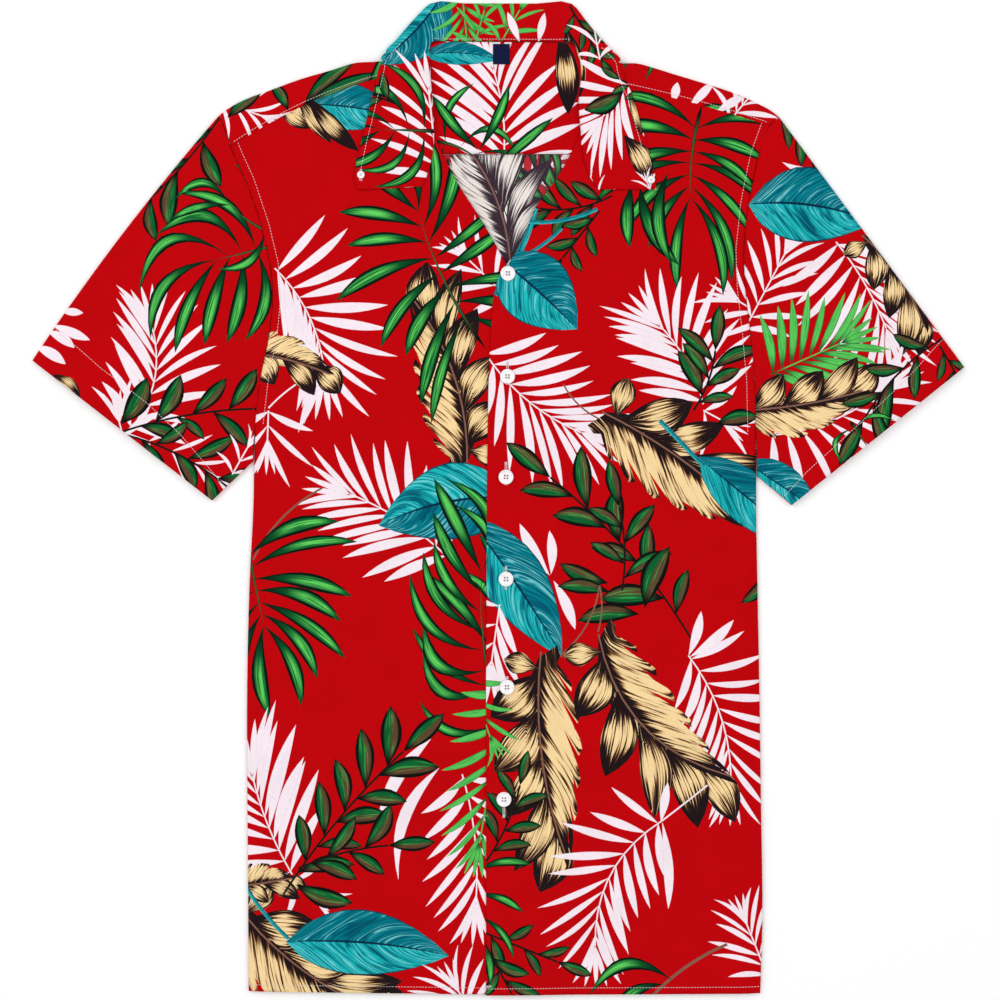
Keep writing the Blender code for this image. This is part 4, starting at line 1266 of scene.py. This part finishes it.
SLEEVE_PRINTS = {
    "left": (
        ("sprig", -220, 310, 228, 109, 43, 3, 4.8, 0),
        ("cream", -357, 100, -38, 29, 11, 0, 1.6, 0.8),
        ("white", -358, 140, -22, 34, 8.0, 0, 0, 0),
        ("white", -362, 135, -31, 27, 8.0, 0, 1.6, 0),
        ("white", -372, 123, -30, 30, 8.8, 0, 1.6, 0),
        ("white", -351, 151, -6, 19, 6.4, 0, 0, 0),
        ("frond", -295, 55, 78, 86, 61, 9, -11.2, 0),
        ("frond", -300, 49, 104, 13, 48, 2, 0, 0),
        ("frond", -301, 54, -26, 88, 35, 5, 3.2, 0),
        ("palm", -168, 206, 194, 61, 86, 5, 0, -98),
        ("palm", -175, 211, 148, 48, 59, 2, 3.2, -150),
        ("sprig", -301, 54, 10, 106, 37, 3, 4, 0),
        ("sprig", -300, 52, -28, 101, 37, 3, 6.4, 0),
        ("sprig_leaf", -302, 60, 60, 43, 18, 0, -3.2, 0),
        ("frond", -213, 20, 60, 24, 27, 3, 0, 0),
        ("frond", -479, 231, 20, 88, 70, 8, 4.8, 0),
        ("palm", -351, 295, 200, 80, 72, 5, 0, -90),
        ("plume", -415, 159, 60, 96, 56, 4, 4.8, 1),
        ("sprig", -279, 287, 190, 88, 37, 4, 3.2, 0),
        ("broad", -455, 279, -10, 88, 45, 0, 3.2, 0),
    ),
    "right": (
        ("sprig", 219, 310, -34, 56, 34, 3, 0, 0),
        ("white", 227, 270, -14, 40, 7.2, 0, -3.2, 0),
        ("frond", 196, 134, 62, 74, 45, 7, 0, 0),
        ("frond", 270, 206, -60, 80, 70, 8, 3.2, -26),
        ("broad", 200, 236, -8, 101, 61, 0, 6.4, 0),
        ("plume", 291, 211, -56, 94, 53, 4, 6.4, 1),
        ("frond", 216, 51, 22, 102, 59, 9, -8, -28),
        ("lime", 218, 100, 24, 61, 59, 8, 0, 14),
        ("plume", 192, 71, 9, 107, 53, 4, -3.2, -1),
        ("sprig", 356, 129, 226, 93, 40, 3, -6.4, 0),
        ("sprig", 353, 123, -60, 40, 24, 2, 0, 0),
        ("palm", 281, 63, -56, 27, 37, 2, 0, -90),
        ("broad", 198, 30, -34, 72, 34, 0, 0, 0),
        ("palm", 321, 279, -20, 88, 74, 5, 0, -90),
        ("frond", 489, 223, 160, 96, 69, 8, 4.8, 0),
        ("plume", 409, 135, 100, 96, 56, 4, 4.8, 1),
        ("sprig", 281, 263, 20, 80, 37, 4, 3.2, 0),
        ("broad", 433, 271, 190, 88, 45, 0, 3.2, 0),
    ),
}
SLEEVE_CREASES = {
    "left": ((-200, 60, -300, 40, 10, 0.8), (-200, 150, -330, 100, 14, 0.8), (-210, 230, -300, 190, 12, 0.5)),
    "right": ((212, 60, 300, 30, 10, 0.8), (212, 150, 330, 90, 14, 0.8), (220, 230, 300, 180, 12, 0.5)),
}
sleeve_surfaces = {}
for number, (side, under_corner, top_corner, bow) in enumerate(SLEEVES):
    form = Form(finer_sheet(sleeve_sheet(side, under_corner, top_corner, bow), down=3, across=4))
    sleeve_surfaces[side] = Surface(form, SLEEVE_CREASES[side], ripple=0.3, seed=6 + number)
    leaves = printed_leaves(SLEEVE_PRINTS[side], seed=6 + number)
    piece = printed_cloth("sleeve_tube_" + side, sleeve_surfaces[side], leaves, spacing=3.4)
    finished(piece, "sleeve_" + side)

# The collar
# One shape of doubled printed cotton: a band at the back of the neck that rolls out into two pointed
# leaves, which lie open on the fronts with a small button at each tip.

# Stations from the tip of one leaf round the neck to the other: x, y and height of the inner edge; how many
# degrees that edge curls under and how far it goes on there; x, y and height of the outer edge; and what lies
# behind: nothing, a turn of so many degrees, or a fall that ends at a place.
COLLAR = (
    (-60.3, 250.2, 5.3, 22, 1, -113.6, 247.2, 5.2, 0),
    (-56.2, 262, 5.5, 24, 1, -116.2, 256, 5.2, 0),
    (-52.9, 275, 5.9, 28, 1, -114.3, 268, 5.3, 0),
    (-52, 292, 6.9, 60, 1, -110.2, 287, 5.5, 0),
    (-52, 300, 8.0, 120, 0.8, -108.4, 294, 5.8, 0),
    (-52.5, 309, 8.4, 180, 0.8, -106.2, 302.5, 6.1, 0),
    (-53.8, 326, 8.0, 180, 4.6, -102, 320, 6.4, 0),
    (-54.9, 340, 8.7, 180, 5, -98, 336, 6.9, 0),
    (-55, 348, 8.7, 165, 0.8, -96, 344.5, 7.0, 0),
    (-55, 353, 8.3, 120, 0.8, -95.2, 350, 7.0, 15),
    (-54.9, 356.5, 7.6, 70, 0.8, -94, 353.2, 6.9, 95),
    (-54.8, 359, 7.1, 50, 0.8, -92.8, 355.2, 6.8, 150),
    (-54.6, 361.5, 6.6, 30, 0.8, -90.2, 358.2, 6.7, (-87.6, 354.6)),
    (-53.6, 365.0, 6.1, 20, 1, -82.7, 366.6, 6.5, (-80.8, 355.4)),
    (-50.5, 367.2, 4.7, 0, 0, -75.5, 375.4, 5.6, (-72.5, 357.4)),
    (-46, 367, 3.6, 0, 0, -64.3, 388.2, 4.4, (-61, 358)),
    (-40, 366.9, 3.1, 0, 0, -54.7, 397.2, 3.6, (-50, 358)),
    (-22, 366.9, 3.1, 0, 0, -27, 397.4, 3.1, (-25, 357)),
    (1, 366.8, 3.1, 0, 0, 2, 397.4, 3.1, (1, 356.5)),
    (24, 366.7, 3.1, 0, 0, 31, 397.3, 3.1, (27, 357)),
    (44, 366.6, 3.1, 0, 0, 58.9, 397, 3.6, (53, 357.5)),
    (51, 366.6, 3.6, 0, 0, 69, 385, 4.4, (64.5, 357.5)),
    (56.5, 366.5, 4.7, 0, 0, 79, 372.5, 5.6, (75, 356.8)),
    (60.3, 364.4, 6.1, 20, 1, 86.6, 363.8, 6.5, (83.6, 355)),
    (61.9, 360.8, 6.6, 30, 0.8, 91.4, 359, 6.7, (89, 354.6)),
    (63.4, 357.4, 7.1, 50, 0.8, 95.2, 355.4, 6.8, 150),
    (64.6, 354, 7.6, 70, 0.8, 97.9, 351.9, 6.9, 95),
    (65.8, 350.5, 8.3, 120, 0.8, 98.9, 349.4, 7.0, 15),
    (66.5, 344, 8.7, 165, 0.8, 100, 343.4, 7.0, 0),
    (66.4, 335, 8.6, 180, 6, 102.6, 334, 6.9, 0),
    (64.9, 323, 8.0, 180, 5.6, 107.5, 324, 6.4, 0),
    (65.1, 309, 8.4, 180, 0.8, 111.6, 310, 6.1, 0),
    (65.8, 300, 8.0, 120, 0.8, 114.4, 300.5, 5.8, 0),
    (66.5, 292, 6.9, 60, 1, 116.8, 292.5, 5.5, 0),
    (68.4, 272, 5.9, 28, 1, 122.2, 274, 5.3, 0),
    (73, 258.5, 5.5, 24, 1, 126, 259, 5.2, 0),
    (80.2, 247.6, 5.3, 22, 1, 126.9, 247.8, 5.2, 0),
)
CURL_RADIUS = 1.5
# From which share of the leaf, and over which, its face changes from the inner edge's height to the outer's.
SLOPE_FROM, SLOPE_OVER = 0.1, 0.6
UNDER_STEPS, CURL_STEPS, FACE_STEPS, BEHIND_STEPS = 2, 4, 5, 3
COLLAR_STEPS = FACE_STEPS + FOLD_STEPS + BEHIND_STEPS


def collar_column(station):
    """From the edge turned under at the neck, over the face, to the outer edge and what lies behind."""
    x, y, z, curl, under, edge_x, edge_y, edge_z, behind = station
    inner, edge = Vector((x, y)), Vector((edge_x, edge_y))
    out = (edge - inner).normalized()
    column = []
    if curl:
        turned = math.radians(curl)
        centre, middle = inner + out * CURL_RADIUS, z - CURL_RADIUS
        end = centre - out * CURL_RADIUS * math.sin(turned)
        end_z = middle + CURL_RADIUS * math.cos(turned)
        for step in range(UNDER_STEPS, 0, -1):
            away = under * step / UNDER_STEPS
            point = end - out * away * math.cos(turned)
            column.append((point.x, point.y, end_z - away * math.sin(turned)))
        for step in range(CURL_STEPS, -1, -1):
            angle = turned * step / CURL_STEPS
            point = centre - out * CURL_RADIUS * math.sin(angle)
            column.append((point.x, point.y, middle + CURL_RADIUS * math.cos(angle)))
        start = centre
    else:
        edge_part = UNDER_STEPS + CURL_STEPS
        for step in range(edge_part + 1):
            point = inner + out * step
            column.append((point.x, point.y, z))
        start = inner + out * edge_part
    shown_from = len(column) - 1 if curl else 0
    low = FLOOR + COLLAR_RAISE
    radius = (edge_z - low) / 2
    if behind == 0:
        turn, steps = [(edge.x - out.x * WALL / 2, edge.y - out.y * WALL / 2, edge_z)], COLLAR_STEPS
    elif isinstance(behind, tuple):
        turn, steps = fold_over(inner, edge, low + radius, radius, lower_first=False), FACE_STEPS
    else:
        turn = fold_over(inner, edge, low + radius, radius, lower_first=False, wrap=behind)
        steps = FACE_STEPS + BEHIND_STEPS
    for step in range(1, steps + 1):
        share = step / (steps + 1)
        px, py = mix(tuple(start), turn[0][:2], share)
        column.append((px, py, z + (edge_z - z) * smooth((share - SLOPE_FROM) / SLOPE_OVER)))
    shown_to = len(column)
    column += turn
    if isinstance(behind, tuple):
        for step in range(1, BEHIND_STEPS + 1):
            px, py = mix(turn[-1][:2], behind, step / BEHIND_STEPS)
            column.append((px, py, low))
    return unrolled(column, shown_from, shown_to, out)


def unrolled(column, shown_from, shown_to, out):
    """The column with its place in the flat cut, what is turned under or behind laid out beyond the edges."""
    flat = [Vector(point[:2]) for point in column]
    for i in range(shown_from - 1, -1, -1):
        flat[i] = flat[i + 1] - out * math.dist(column[i], column[i + 1])
    for i in range(shown_to + 1, len(column)):
        flat[i] = flat[i - 1] + out * math.dist(column[i], column[i - 1])
    return [(*point, *place) for point, place in zip(column, flat)]


COLLAR_PRINT = (
    ("broad", -42, 409, 228, 83, 50, 0, 4.8),
    ("broad", -60, 356, -4, 61, 19, 0, 3.2),
    ("frond", -47, 243, 96, 85, 56, 8, 0, 16),
    ("palm", -47, 294, 178, 48, 67, 4, 0, -150),
    ("sprig", -82, 316, 158, 40, 22, 3),
    ("lime", -29, 404, -84, 40, 35, 6),
    ("lime", -20, 361, 74, 32, 32, 4),
    ("lime", 1, 364, 60, 32, 32, 4),
    ("white", 17, 366, 112, 26, 6.4),
    ("white", 32, 366, 78, 24, 6.4),
    ("cream", 54, 379, -84, 67, 19, 0, 2.4, 0.8),
    ("sprig", 57, 395, -60, 48, 24, 3),
    ("frond", 104, 332, -128, 35, 56, 6, 0, -8),
    ("frond", 81, 351, 100, 24, 29, 3),
    ("sprig_leaf", 100, 326, 206, 35, 15, 0, 3.2),
    ("cream", 104, 324, -72, 35, 10.4, 0, 1.6, 0.7),
    ("cream", 100, 291, -62, 43, 18, 0, 4, 0.9),
    ("frond", 123, 243, 110, 10, 18, 3),
    ("sprig", 126, 319, 150, 32, 19, 2),
    ("frond", 84, 236, 120, 16, 18, 3),
)
collar_form = Form(finer_sheet([collar_column(station) for station in COLLAR], down=3, across=3))
collar_surface = Surface(collar_form, ripple=0.12, seed=8)
collar = printed_cloth("collar_leaves", collar_surface, printed_leaves(COLLAR_PRINT, seed=8), spacing=2.4)
finished(collar, "collar")

# The label
# A small woven label at the middle of the back neck, folded at its ends and sewn on along its top
# and bottom. It is left bare.
LABEL = {"x": 2.4, "y": 356.2, "width": 13.4, "length": 16.3, "height": 4.75, "thickness": 0.6}
LABEL_ROWS, LABEL_COLUMNS = 18, 14
# How far its face lies below the solid's, how deep its edges turn down and from which share of its width and
# length on, how high and how fast its face waves, and how thick it is drawn.
LABEL_BELOW, EDGE_TURN, EDGE_FROM, EDGE_OVER = 0.05, 0.25, 0.4, 0.1
LABEL_WAVE, LABEL_WAVES, LABEL_SHELL = 0.12, 7, 0.4


def drawn(name, mesh):
    """A new object of a mesh that was made point by point."""
    data = bpy.data.meshes.new(name)
    mesh.to_mesh(data)
    mesh.free()
    return linked(name, data)


def woven_label():
    mesh = bmesh.new()
    rows = []
    for i in range(LABEL_ROWS + 1):
        row = []
        for k in range(LABEL_COLUMNS + 1):
            across, up = k / LABEL_COLUMNS - 0.5, i / LABEL_ROWS - 0.5
            corner = smooth((max(abs(across), abs(up)) - EDGE_FROM) / EDGE_OVER)
            height = LABEL["height"] + LABEL["thickness"] - LABEL_BELOW - EDGE_TURN * corner
            height += LABEL_WAVE * math.sin(LABEL_WAVES * up)
            place = Vector((LABEL["x"] + across * LABEL["width"], LABEL["y"] + up * LABEL["length"], height))
            row.append(mesh.verts.new((place + Vector(SHIFT)) * MM))
        rows.append(row)
    for low, high in zip(rows, rows[1:]):
        for k in range(LABEL_COLUMNS):
            mesh.faces.new((low[k], low[k + 1], high[k + 1], high[k])).smooth = True
    piece = drawn("neck_label", mesh)
    thickened(piece, LABEL_SHELL)
    return piece


def satin_weave():
    """Navy damask with fine ribs across."""
    made, tree, shader, place = new_material("navy_damask")
    wave = {"Vector": place, "Scale": 420.0, "Distortion": 1.5}
    ribs = node(tree, "ShaderNodeTexWave", wave, bands_direction="Y").node.outputs[1]
    speckle = node(tree, "ShaderNodeTexNoise", {"Vector": place, "Scale": 1800.0, "Detail": 2.0})
    mixed = math_of(tree, "ADD", *[math_of(tree, "MULTIPLY", part, 0.5) for part in (ribs, speckle)])
    fill(tree, shader, {
        # Painted shade: the colour is darker between the ribs, following their relief, and flecked at random.
        "Base Color": tinted(tree, colour(7, 10, 38), colour(20, 28, 72), mixed),
        "Normal": node(tree, "ShaderNodeBump", {"Strength": 0.4, "Distance": 0.0001, "Height": ribs}),
        "Roughness": 0.8, "Specular IOR Level": 0.1,
    })
    return made


label = woven_label()
label.data.materials.append(satin_weave())
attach(label, "root")
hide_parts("label")

# The buttons
# Pearl-white moulded buttons with a rim and four holes, sewn to the lower front and to the fronts
# below the collar's tips. They stand in their buttonholes, closed.

# Name, x, y, the height of its underside, and its diameter.
BUTTONS = (
    ("button_1", 7.6, 180.5, 6.0, 12),
    ("button_2", 7.3, 98.2, 6.0, 12),
    ("button_3", 6.1, 17.8, 6.0, 12),
    ("button_4", 6.1, -63.8, 6.0, 12),
    ("button_5", 6.9, -150.2, 6.0, 12),
    ("button_6", 4.4, -239.8, 6.0, 12),
    ("tip_button_left", -109.9, 259.4, 6.25, 6),
    ("tip_button_right", 122.1, 255.4, 6.25, 6),
)
BUTTON_DIAMETER, BUTTON_SEGMENTS = 12, 48
# How far its holes are from its middle, their radius, and the cutter's ends and segments.
HOLE_OFFSET, HOLE_RADIUS, HOLE_FROM, HOLE_TO, HOLE_SEGMENTS = 1.5, 0.75, -1, 4, 12
# Half profile as radius and height: the underside, the rounded rim, the dip inside it.
BUTTON_PROFILE = (
    (0, 0), (4.6, 0), (5.3, 0.12), (5.8, 0.5), (6, 0.95), (5.96, 1.4), (5.75, 1.85), (5.4, 2.08),
    (5.05, 2.06), (4.7, 1.9), (4.3, 1.68), (3.8, 1.58), (2.8, 1.56), (0, 1.6),
)


def spun(name, profile, segments):
    """A solid of revolution about the Z axis, from pairs of radius and height."""
    mesh = bmesh.new()
    rings = []
    for radius, height in profile:
        count = segments if radius else 1
        angles = [2 * math.pi * i / segments for i in range(count)]
        places = [Vector((radius * math.cos(a), radius * math.sin(a), height)) * MM for a in angles]
        rings.append([mesh.verts.new(place) for place in places])
    for low, high in zip(rings, rings[1:]):
        for i in range(segments):
            j = (i + 1) % segments
            corners = [low[i % len(low)], low[j % len(low)], high[j % len(high)], high[i % len(high)]]
            mesh.faces.new(list(dict.fromkeys(corners))).smooth = True
    bmesh.ops.recalc_face_normals(mesh, faces=mesh.faces)
    return drawn(name, mesh)


def pearl():
    """Moulded white plastic with a faint cloudy shimmer."""
    made, tree, shader, place = new_material("pearl_plastic")
    clouds = {"Vector": place, "Scale": 260.0, "Detail": 3.0, "Distortion": 1.2}
    cloud = node(tree, "ShaderNodeTexNoise", clouds)
    shimmer = band(tree, cloud, 0.35, 0.65)
    fill(tree, shader, {
        "Base Color": tinted(tree, colour(236, 232, 236), colour(252, 250, 248), shimmer),
        "Roughness": changed(tree, cloud, 0.3, 0.7, 0.22, 0.36),
        "Coat Weight": 0.25,
    })
    return made


# How dark the painted shade makes the thread where its twist lies low.
THREAD_SHADE = 0.72


def cotton_thread(name, base):
    """Twisted sewing thread, with painted shade where its twist lies low."""
    made, tree, shader, place = new_material(name)
    twist = node(tree, "ShaderNodeTexNoise", {"Vector": place, "Scale": 2200.0, "Detail": 2.0})
    # Painted shade: the noise that gives the twist's relief also darkens the thread where it lies low.
    darker = tuple(c * THREAD_SHADE for c in base[:3]) + (1,)
    fill(tree, shader, {
        "Base Color": tinted(tree, darker, base, band(tree, twist, 0.35, 0.6)),
        "Normal": node(tree, "ShaderNodeBump", {"Strength": 0.5, "Distance": 0.0001, "Height": twist}),
        "Roughness": 0.65,
    })
    return made


plastic = pearl()
white_thread = cotton_thread("white_thread", colour(244, 232, 236))
for name, x, y, z, diameter in BUTTONS:
    size = diameter / BUTTON_DIAMETER
    profile = [(radius * size, height * size) for radius, height in BUTTON_PROFILE]
    button = spun("turned", profile, BUTTON_SEGMENTS)
    radius, offset = HOLE_RADIUS * size, HOLE_OFFSET * size
    drill = ((0, HOLE_FROM), (radius, HOLE_FROM), (radius, HOLE_TO), (0, HOLE_TO))
    holes = []
    for i in range(4):
        hole = spun("hole", drill, HOLE_SEGMENTS)
        turn = math.radians(45 + 90 * i)
        hole.location = (offset * math.cos(turn) * MM, offset * math.sin(turn) * MM, 0)
        cut = button.modifiers.new("hole", "BOOLEAN")
        cut.object, cut.solver = hole, "EXACT"
        holes.append(hole)
    button = evaluated_copy(button, "pearl_" + name)
    for hole in holes:
        bpy.data.objects.remove(hole, do_unlink=True)
    place = Vector((x, y, z)) + Vector(SHIFT)
    for vertex in button.data.vertices:
        vertex.co += place * MM
    button.data.materials.clear()
    button.data.materials.append(plastic)
    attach(button, "root")
    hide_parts(name)

# The sewing
# Machine stitches in white thread: along the hems, the armholes, the yoke's front seams and the
# collar's edge, worked buttonholes, and the strands that hold each button.

# Each kind of stitch: how far apart they are, and their length, width and height.
SEAM_PITCH, SEAM_STITCH = 2.4, (2.1, 0.44, 0.3)
HOLE_PITCH, HOLE_STITCH = 0.5, (0.5, 0.95, 0.4)
STRAND_PITCH, STRAND_STITCH = 0.25, (0.5, 0.5, 0.4)
# How far above the cloth the middles of the seams' stitches, of the buttonholes' and of their ends' lie.
STITCH_LIFT, HOLE_LIFT, END_LIFT = 0.2, 0.05, 0.3
# How far inside its edge each row of stitches runs. The yoke's row takes a stretch of its seam.
HEM_DEPTH, SIDE_INSET, ARMHOLE_INSET, COLLAR_INSET, NECK_INSET = 5.5, 2, 6.5, 5.0, 1.6
YOKE_INSET, YOKE_FROM, YOKE_RUN, YOKE_STEPS = 2.2, 0.02, 0.93, 30
# The stations of the collar between which its edge runs behind the neck.
NECK_FROM, NECK_TO = 14, 23
# Where the sleeves' hem stitches run, from the fold to the underarm.
SLEEVE_HEM_LINES = {
    "left": (
        (-357.1, 139.4), (-351.7, 133), (-338.7, 123.2), (-317.4, 104.4), (-301.9, 93), (-280.6, 76.6),
        (-265.1, 62), (-254.7, 52.2), (-227.2, 20), (-221.1, 12.2),
    ),
    "right": (
        (356.8, 129.4), (348.1, 120.2), (335.2, 105.6), (321.4, 91.4), (289.3, 61), (270.6, 43.8),
        (247.6, 22.7), (229.3, 3),
    ),
}


def stitches(name, lines, pitch, size, material):
    """One mesh of small rounded stitches, spaced along lines of places, each laid along its line."""
    mesh = bpy.data.meshes.new(name)
    points, edges = [], []
    for line in lines:
        start = len(points)
        points += [tuple(point) for point in line]
        edges += [(start + i, start + i + 1) for i in range(len(line) - 1)]
    mesh.from_pydata(points, edges, [])
    path = linked(name + "_path", mesh)
    tree = bpy.data.node_groups.new(name, "GeometryNodeTree")
    tree.interface.new_socket("Geometry", in_out="INPUT", socket_type="NodeSocketGeometry")
    inputs = {"Pitch": pitch * MM, "Length": size[0] * MM, "Width": size[1] * MM, "Height": size[2] * MM}
    sockets = {
        key: tree.interface.new_socket(key, in_out="INPUT", socket_type="NodeSocketFloat") for key in inputs
    }
    tree.interface.new_socket("Geometry", in_out="OUTPUT", socket_type="NodeSocketGeometry")
    given = tree.nodes.new("NodeGroupInput")
    curve = node(tree, "GeometryNodeMeshToCurve", {0: given.outputs["Geometry"]})
    spaced = tree.nodes.new("GeometryNodeCurveToPoints")
    spaced.mode = "LENGTH"
    tree.links.new(curve, spaced.inputs["Curve"])
    tree.links.new(given.outputs["Pitch"], spaced.inputs["Length"])
    turned = node(tree, "FunctionNodeAlignRotationToVector", {"Vector": spaced.outputs["Tangent"]}, axis="X")
    bead = node(tree, "GeometryNodeMeshUVSphere", {"Segments": 6, "Rings": 4, "Radius": 0.5})
    sizes = {i: given.outputs[key] for i, key in enumerate(("Length", "Width", "Height"))}
    scale = node(tree, "ShaderNodeCombineXYZ", sizes)
    placing = {"Points": spaced.outputs["Points"], "Instance": bead, "Rotation": turned, "Scale": scale}
    laid = node(tree, "GeometryNodeInstanceOnPoints", placing)
    real = node(tree, "GeometryNodeRealizeInstances", {0: laid})
    shaded = node(tree, "GeometryNodeSetShadeSmooth", {0: real})
    coloured = node(tree, "GeometryNodeSetMaterial", {0: shaded, "Material": material})
    end = tree.nodes.new("NodeGroupOutput")
    tree.links.new(coloured, end.inputs[0])
    modifier = path.modifiers.new("stitches", "NODES")
    modifier.node_group = tree
    for key, value in inputs.items():
        modifier[sockets[key].identifier] = value
    piece = laid_on_table(evaluated_copy(path, name))
    bpy.data.node_groups.remove(tree)
    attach(piece, "root")
    return piece


def close_points(line, step=2.0):
    """The line with a point every few millimetres."""
    made = []
    for a, b in zip(line, line[1:]):
        count = max(1, int(math.dist(a, b) / step))
        made += [mix(a, b, i / count) for i in range(count)]
    return made + [tuple(line[-1])]


def seam_lines():
    """Every row of topstitching as places on the cloth."""
    lines = []
    for side, sign in (("left", 1), ("right", -1)):
        front, corner = FRONT_EDGE[side][0], SIDE[side][0]
        hem = [(front[0], front[1] + HEM_DEPTH), (corner[0] + sign * SIDE_INSET, corner[1] + HEM_DEPTH)]
        armhole = beside(ARMHOLE[side][1:-1], -sign * ARMHOLE_INSET)
        seam = []
        for i in range(YOKE_STEPS + 1):
            share = YOKE_FROM + YOKE_RUN * i / YOKE_STEPS
            x, y = mix(outline(side)[-1], FRONT_TOP[side], share)
            seam.append((x, y + YOKE_SEAM_BOW[side] * 4 * share * (1 - share) + YOKE_INSET))
        lines += [(front_surfaces[side], hem), (front_surfaces[side], armhole), (yoke_surface, seam)]
        lines.append((sleeve_surfaces[side], SLEEVE_HEM_LINES[side]))
    leaf_edges = [(station[5], station[6]) for station in COLLAR]
    lines.append((collar_surface, beside(leaf_edges[:NECK_FROM], -COLLAR_INSET)[1:]))
    lines.append((collar_surface, beside(leaf_edges[NECK_TO:], -COLLAR_INSET)[:-1]))
    neck = [(station[0], station[1] + NECK_INSET) for station in COLLAR[NECK_FROM:NECK_TO]]
    lines.append((collar_surface, neck))
    return [surface.carry(close_points(line), STITCH_LIFT) for surface, line in lines]


stitches("topstitching", seam_lines(), SEAM_PITCH, SEAM_STITCH, white_thread)

# A buttonhole's length, that of the collar tips' as a share, its width, the points along it, and how the
# one in the right leaf leans.
BUTTONHOLE_LENGTH, TIP_HOLE_SHARE, BUTTONHOLE_WIDTH, HOLE_POINTS, RIGHT_TIP_LEAN = 18, 0.5, 1.3, 24, 0.25
# How far above its button each buttonhole's middle lies: the buttons have slipped along them differently.
SLIPPED = {
    "button_1": 2.8, "button_2": 2.6, "button_3": 2.8, "button_4": 0.9, "button_5": -0.6, "button_6": -5.6,
}
# The rows across each end of a buttonhole, from its end inwards, and how far they reach to both sides.
END_TACKS, TACK_REACH, TACK_POINTS = (0.2, 1.0, 1.8), 0.8, 5
# Two short rows close together that hold the front's edge where it meets the hem.
BAR_TACK, TACK_STEP = (((-9.4, -389.6), (-5.8, -389.0)), ((-9.4, -390.3), (-5.8, -389.7))), 0.5
buttonholes = []
for name, x, y, _, _ in BUTTONS:
    surface = front_surfaces["right"] if name in SLIPPED else collar_surface
    half = BUTTONHOLE_LENGTH / 2 * (1 if name in SLIPPED else TIP_HOLE_SHARE)
    lean = RIGHT_TIP_LEAN if name == "tip_button_right" else 0
    middle = y + SLIPPED.get(name, 0)
    for beside_slot in (-BUTTONHOLE_WIDTH / 2, BUTTONHOLE_WIDTH / 2):
        places = np.linspace(-half, half, HOLE_POINTS)
        line = [(x + beside_slot + lean * along, middle + along) for along in places]
        buttonholes.append(surface.carry(line, HOLE_LIFT))
    for inwards in END_TACKS if name in SLIPPED else ():
        for end in (middle - half + inwards, middle + half - inwards):
            across = [(x + step, end) for step in np.linspace(-TACK_REACH, TACK_REACH, TACK_POINTS)]
            buttonholes.append(surface.carry(across, END_LIFT))
for tack in BAR_TACK:
    buttonholes.append(front_surfaces["right"].carry(close_points(tack, TACK_STEP), HOLE_LIFT))
stitches("buttonholes", buttonholes, HOLE_PITCH, HOLE_STITCH, white_thread)

# The path of the thread from one of a button's holes to the next, as shares of the way from its middle and
# heights above its base, and how far that base lies above the button's underside.
STRAND_PATH, STRAND_BASE = ((-1.0, -0.6), (-0.7, 0.15), (0, 0.3), (0.7, 0.15), (1.0, -0.6)), 1.5
strands = []
for _, x, y, z, diameter in BUTTONS:
    size = diameter / BUTTON_DIAMETER
    reach = HOLE_OFFSET * size * math.cos(math.radians(45))
    for side in (-reach, reach):
        place = Vector((x + side, y, z + STRAND_BASE * size)) + Vector(SHIFT)
        strands.append([(place + Vector((0, along * reach, up * size))) * MM for along, up in STRAND_PATH])
stitches("button_strands", strands, STRAND_PITCH, STRAND_STITCH, white_thread)

# The floor, the light and the camera
# The shirt lies on a white studio table under large soft lamps and is seen from straight above.
FLOOR_SIZE, FLOOR_BELOW, WHITE, WORLD_LIGHT = 6, 0.0005, (1, 1, 1, 1), 0.53
# Where the camera stands, how far above the cloth, how wide its picture is there, and its film's width.
CAMERA_X, CAMERA_Y, CLOTH_HEIGHT, CAMERA_HEIGHT, FIELD, FILM = 0.00133, -0.00076, 0.005, 1.6, 0.8, 36
# Name, place, size and power.
LAMPS = (
    ("lamp_left", (-1.6, 0.9, 1.9), 1.6, 21), ("lamp_right", (1.7, 0.5, 2.0), 1.8, 14),
    ("lamp_above", (0, -0.4, 2.6), 2.2, 16),
)
bpy.ops.mesh.primitive_plane_add(size=FLOOR_SIZE, location=(0, 0, -FLOOR_BELOW))
floor = bpy.context.object
floor.name = "floor"
paper, _, shader, _ = new_material("white_paper")
shader.inputs["Base Color"].default_value = WHITE
shader.inputs["Roughness"].default_value = 0.9
floor.data.materials.append(paper)

for name, place, size, power in LAMPS:
    lamp = bpy.data.lights.new(name, "AREA")
    lamp.size, lamp.energy = size, power
    holder = linked(name, lamp)
    holder.location = place
    holder.rotation_euler = (Vector((0, 0, 0)) - Vector(place)).to_track_quat("-Z", "Y").to_euler()
world = bpy.data.worlds.new("studio")
bpy.context.scene.world = world
world.use_nodes = True
world.node_tree.nodes["Background"].inputs["Color"].default_value = WHITE
world.node_tree.nodes["Background"].inputs["Strength"].default_value = WORLD_LIGHT
bpy.context.scene.view_settings.view_transform = "Standard"

camera = bpy.data.cameras.new("camera")
camera.sensor_width = FILM
camera.lens = FILM * CAMERA_HEIGHT / FIELD
camera.clip_end = 10
stand = linked("camera", camera)
stand.location = (CAMERA_X, CAMERA_Y, CAMERA_HEIGHT + CLOTH_HEIGHT)
bpy.context.scene.camera = stand
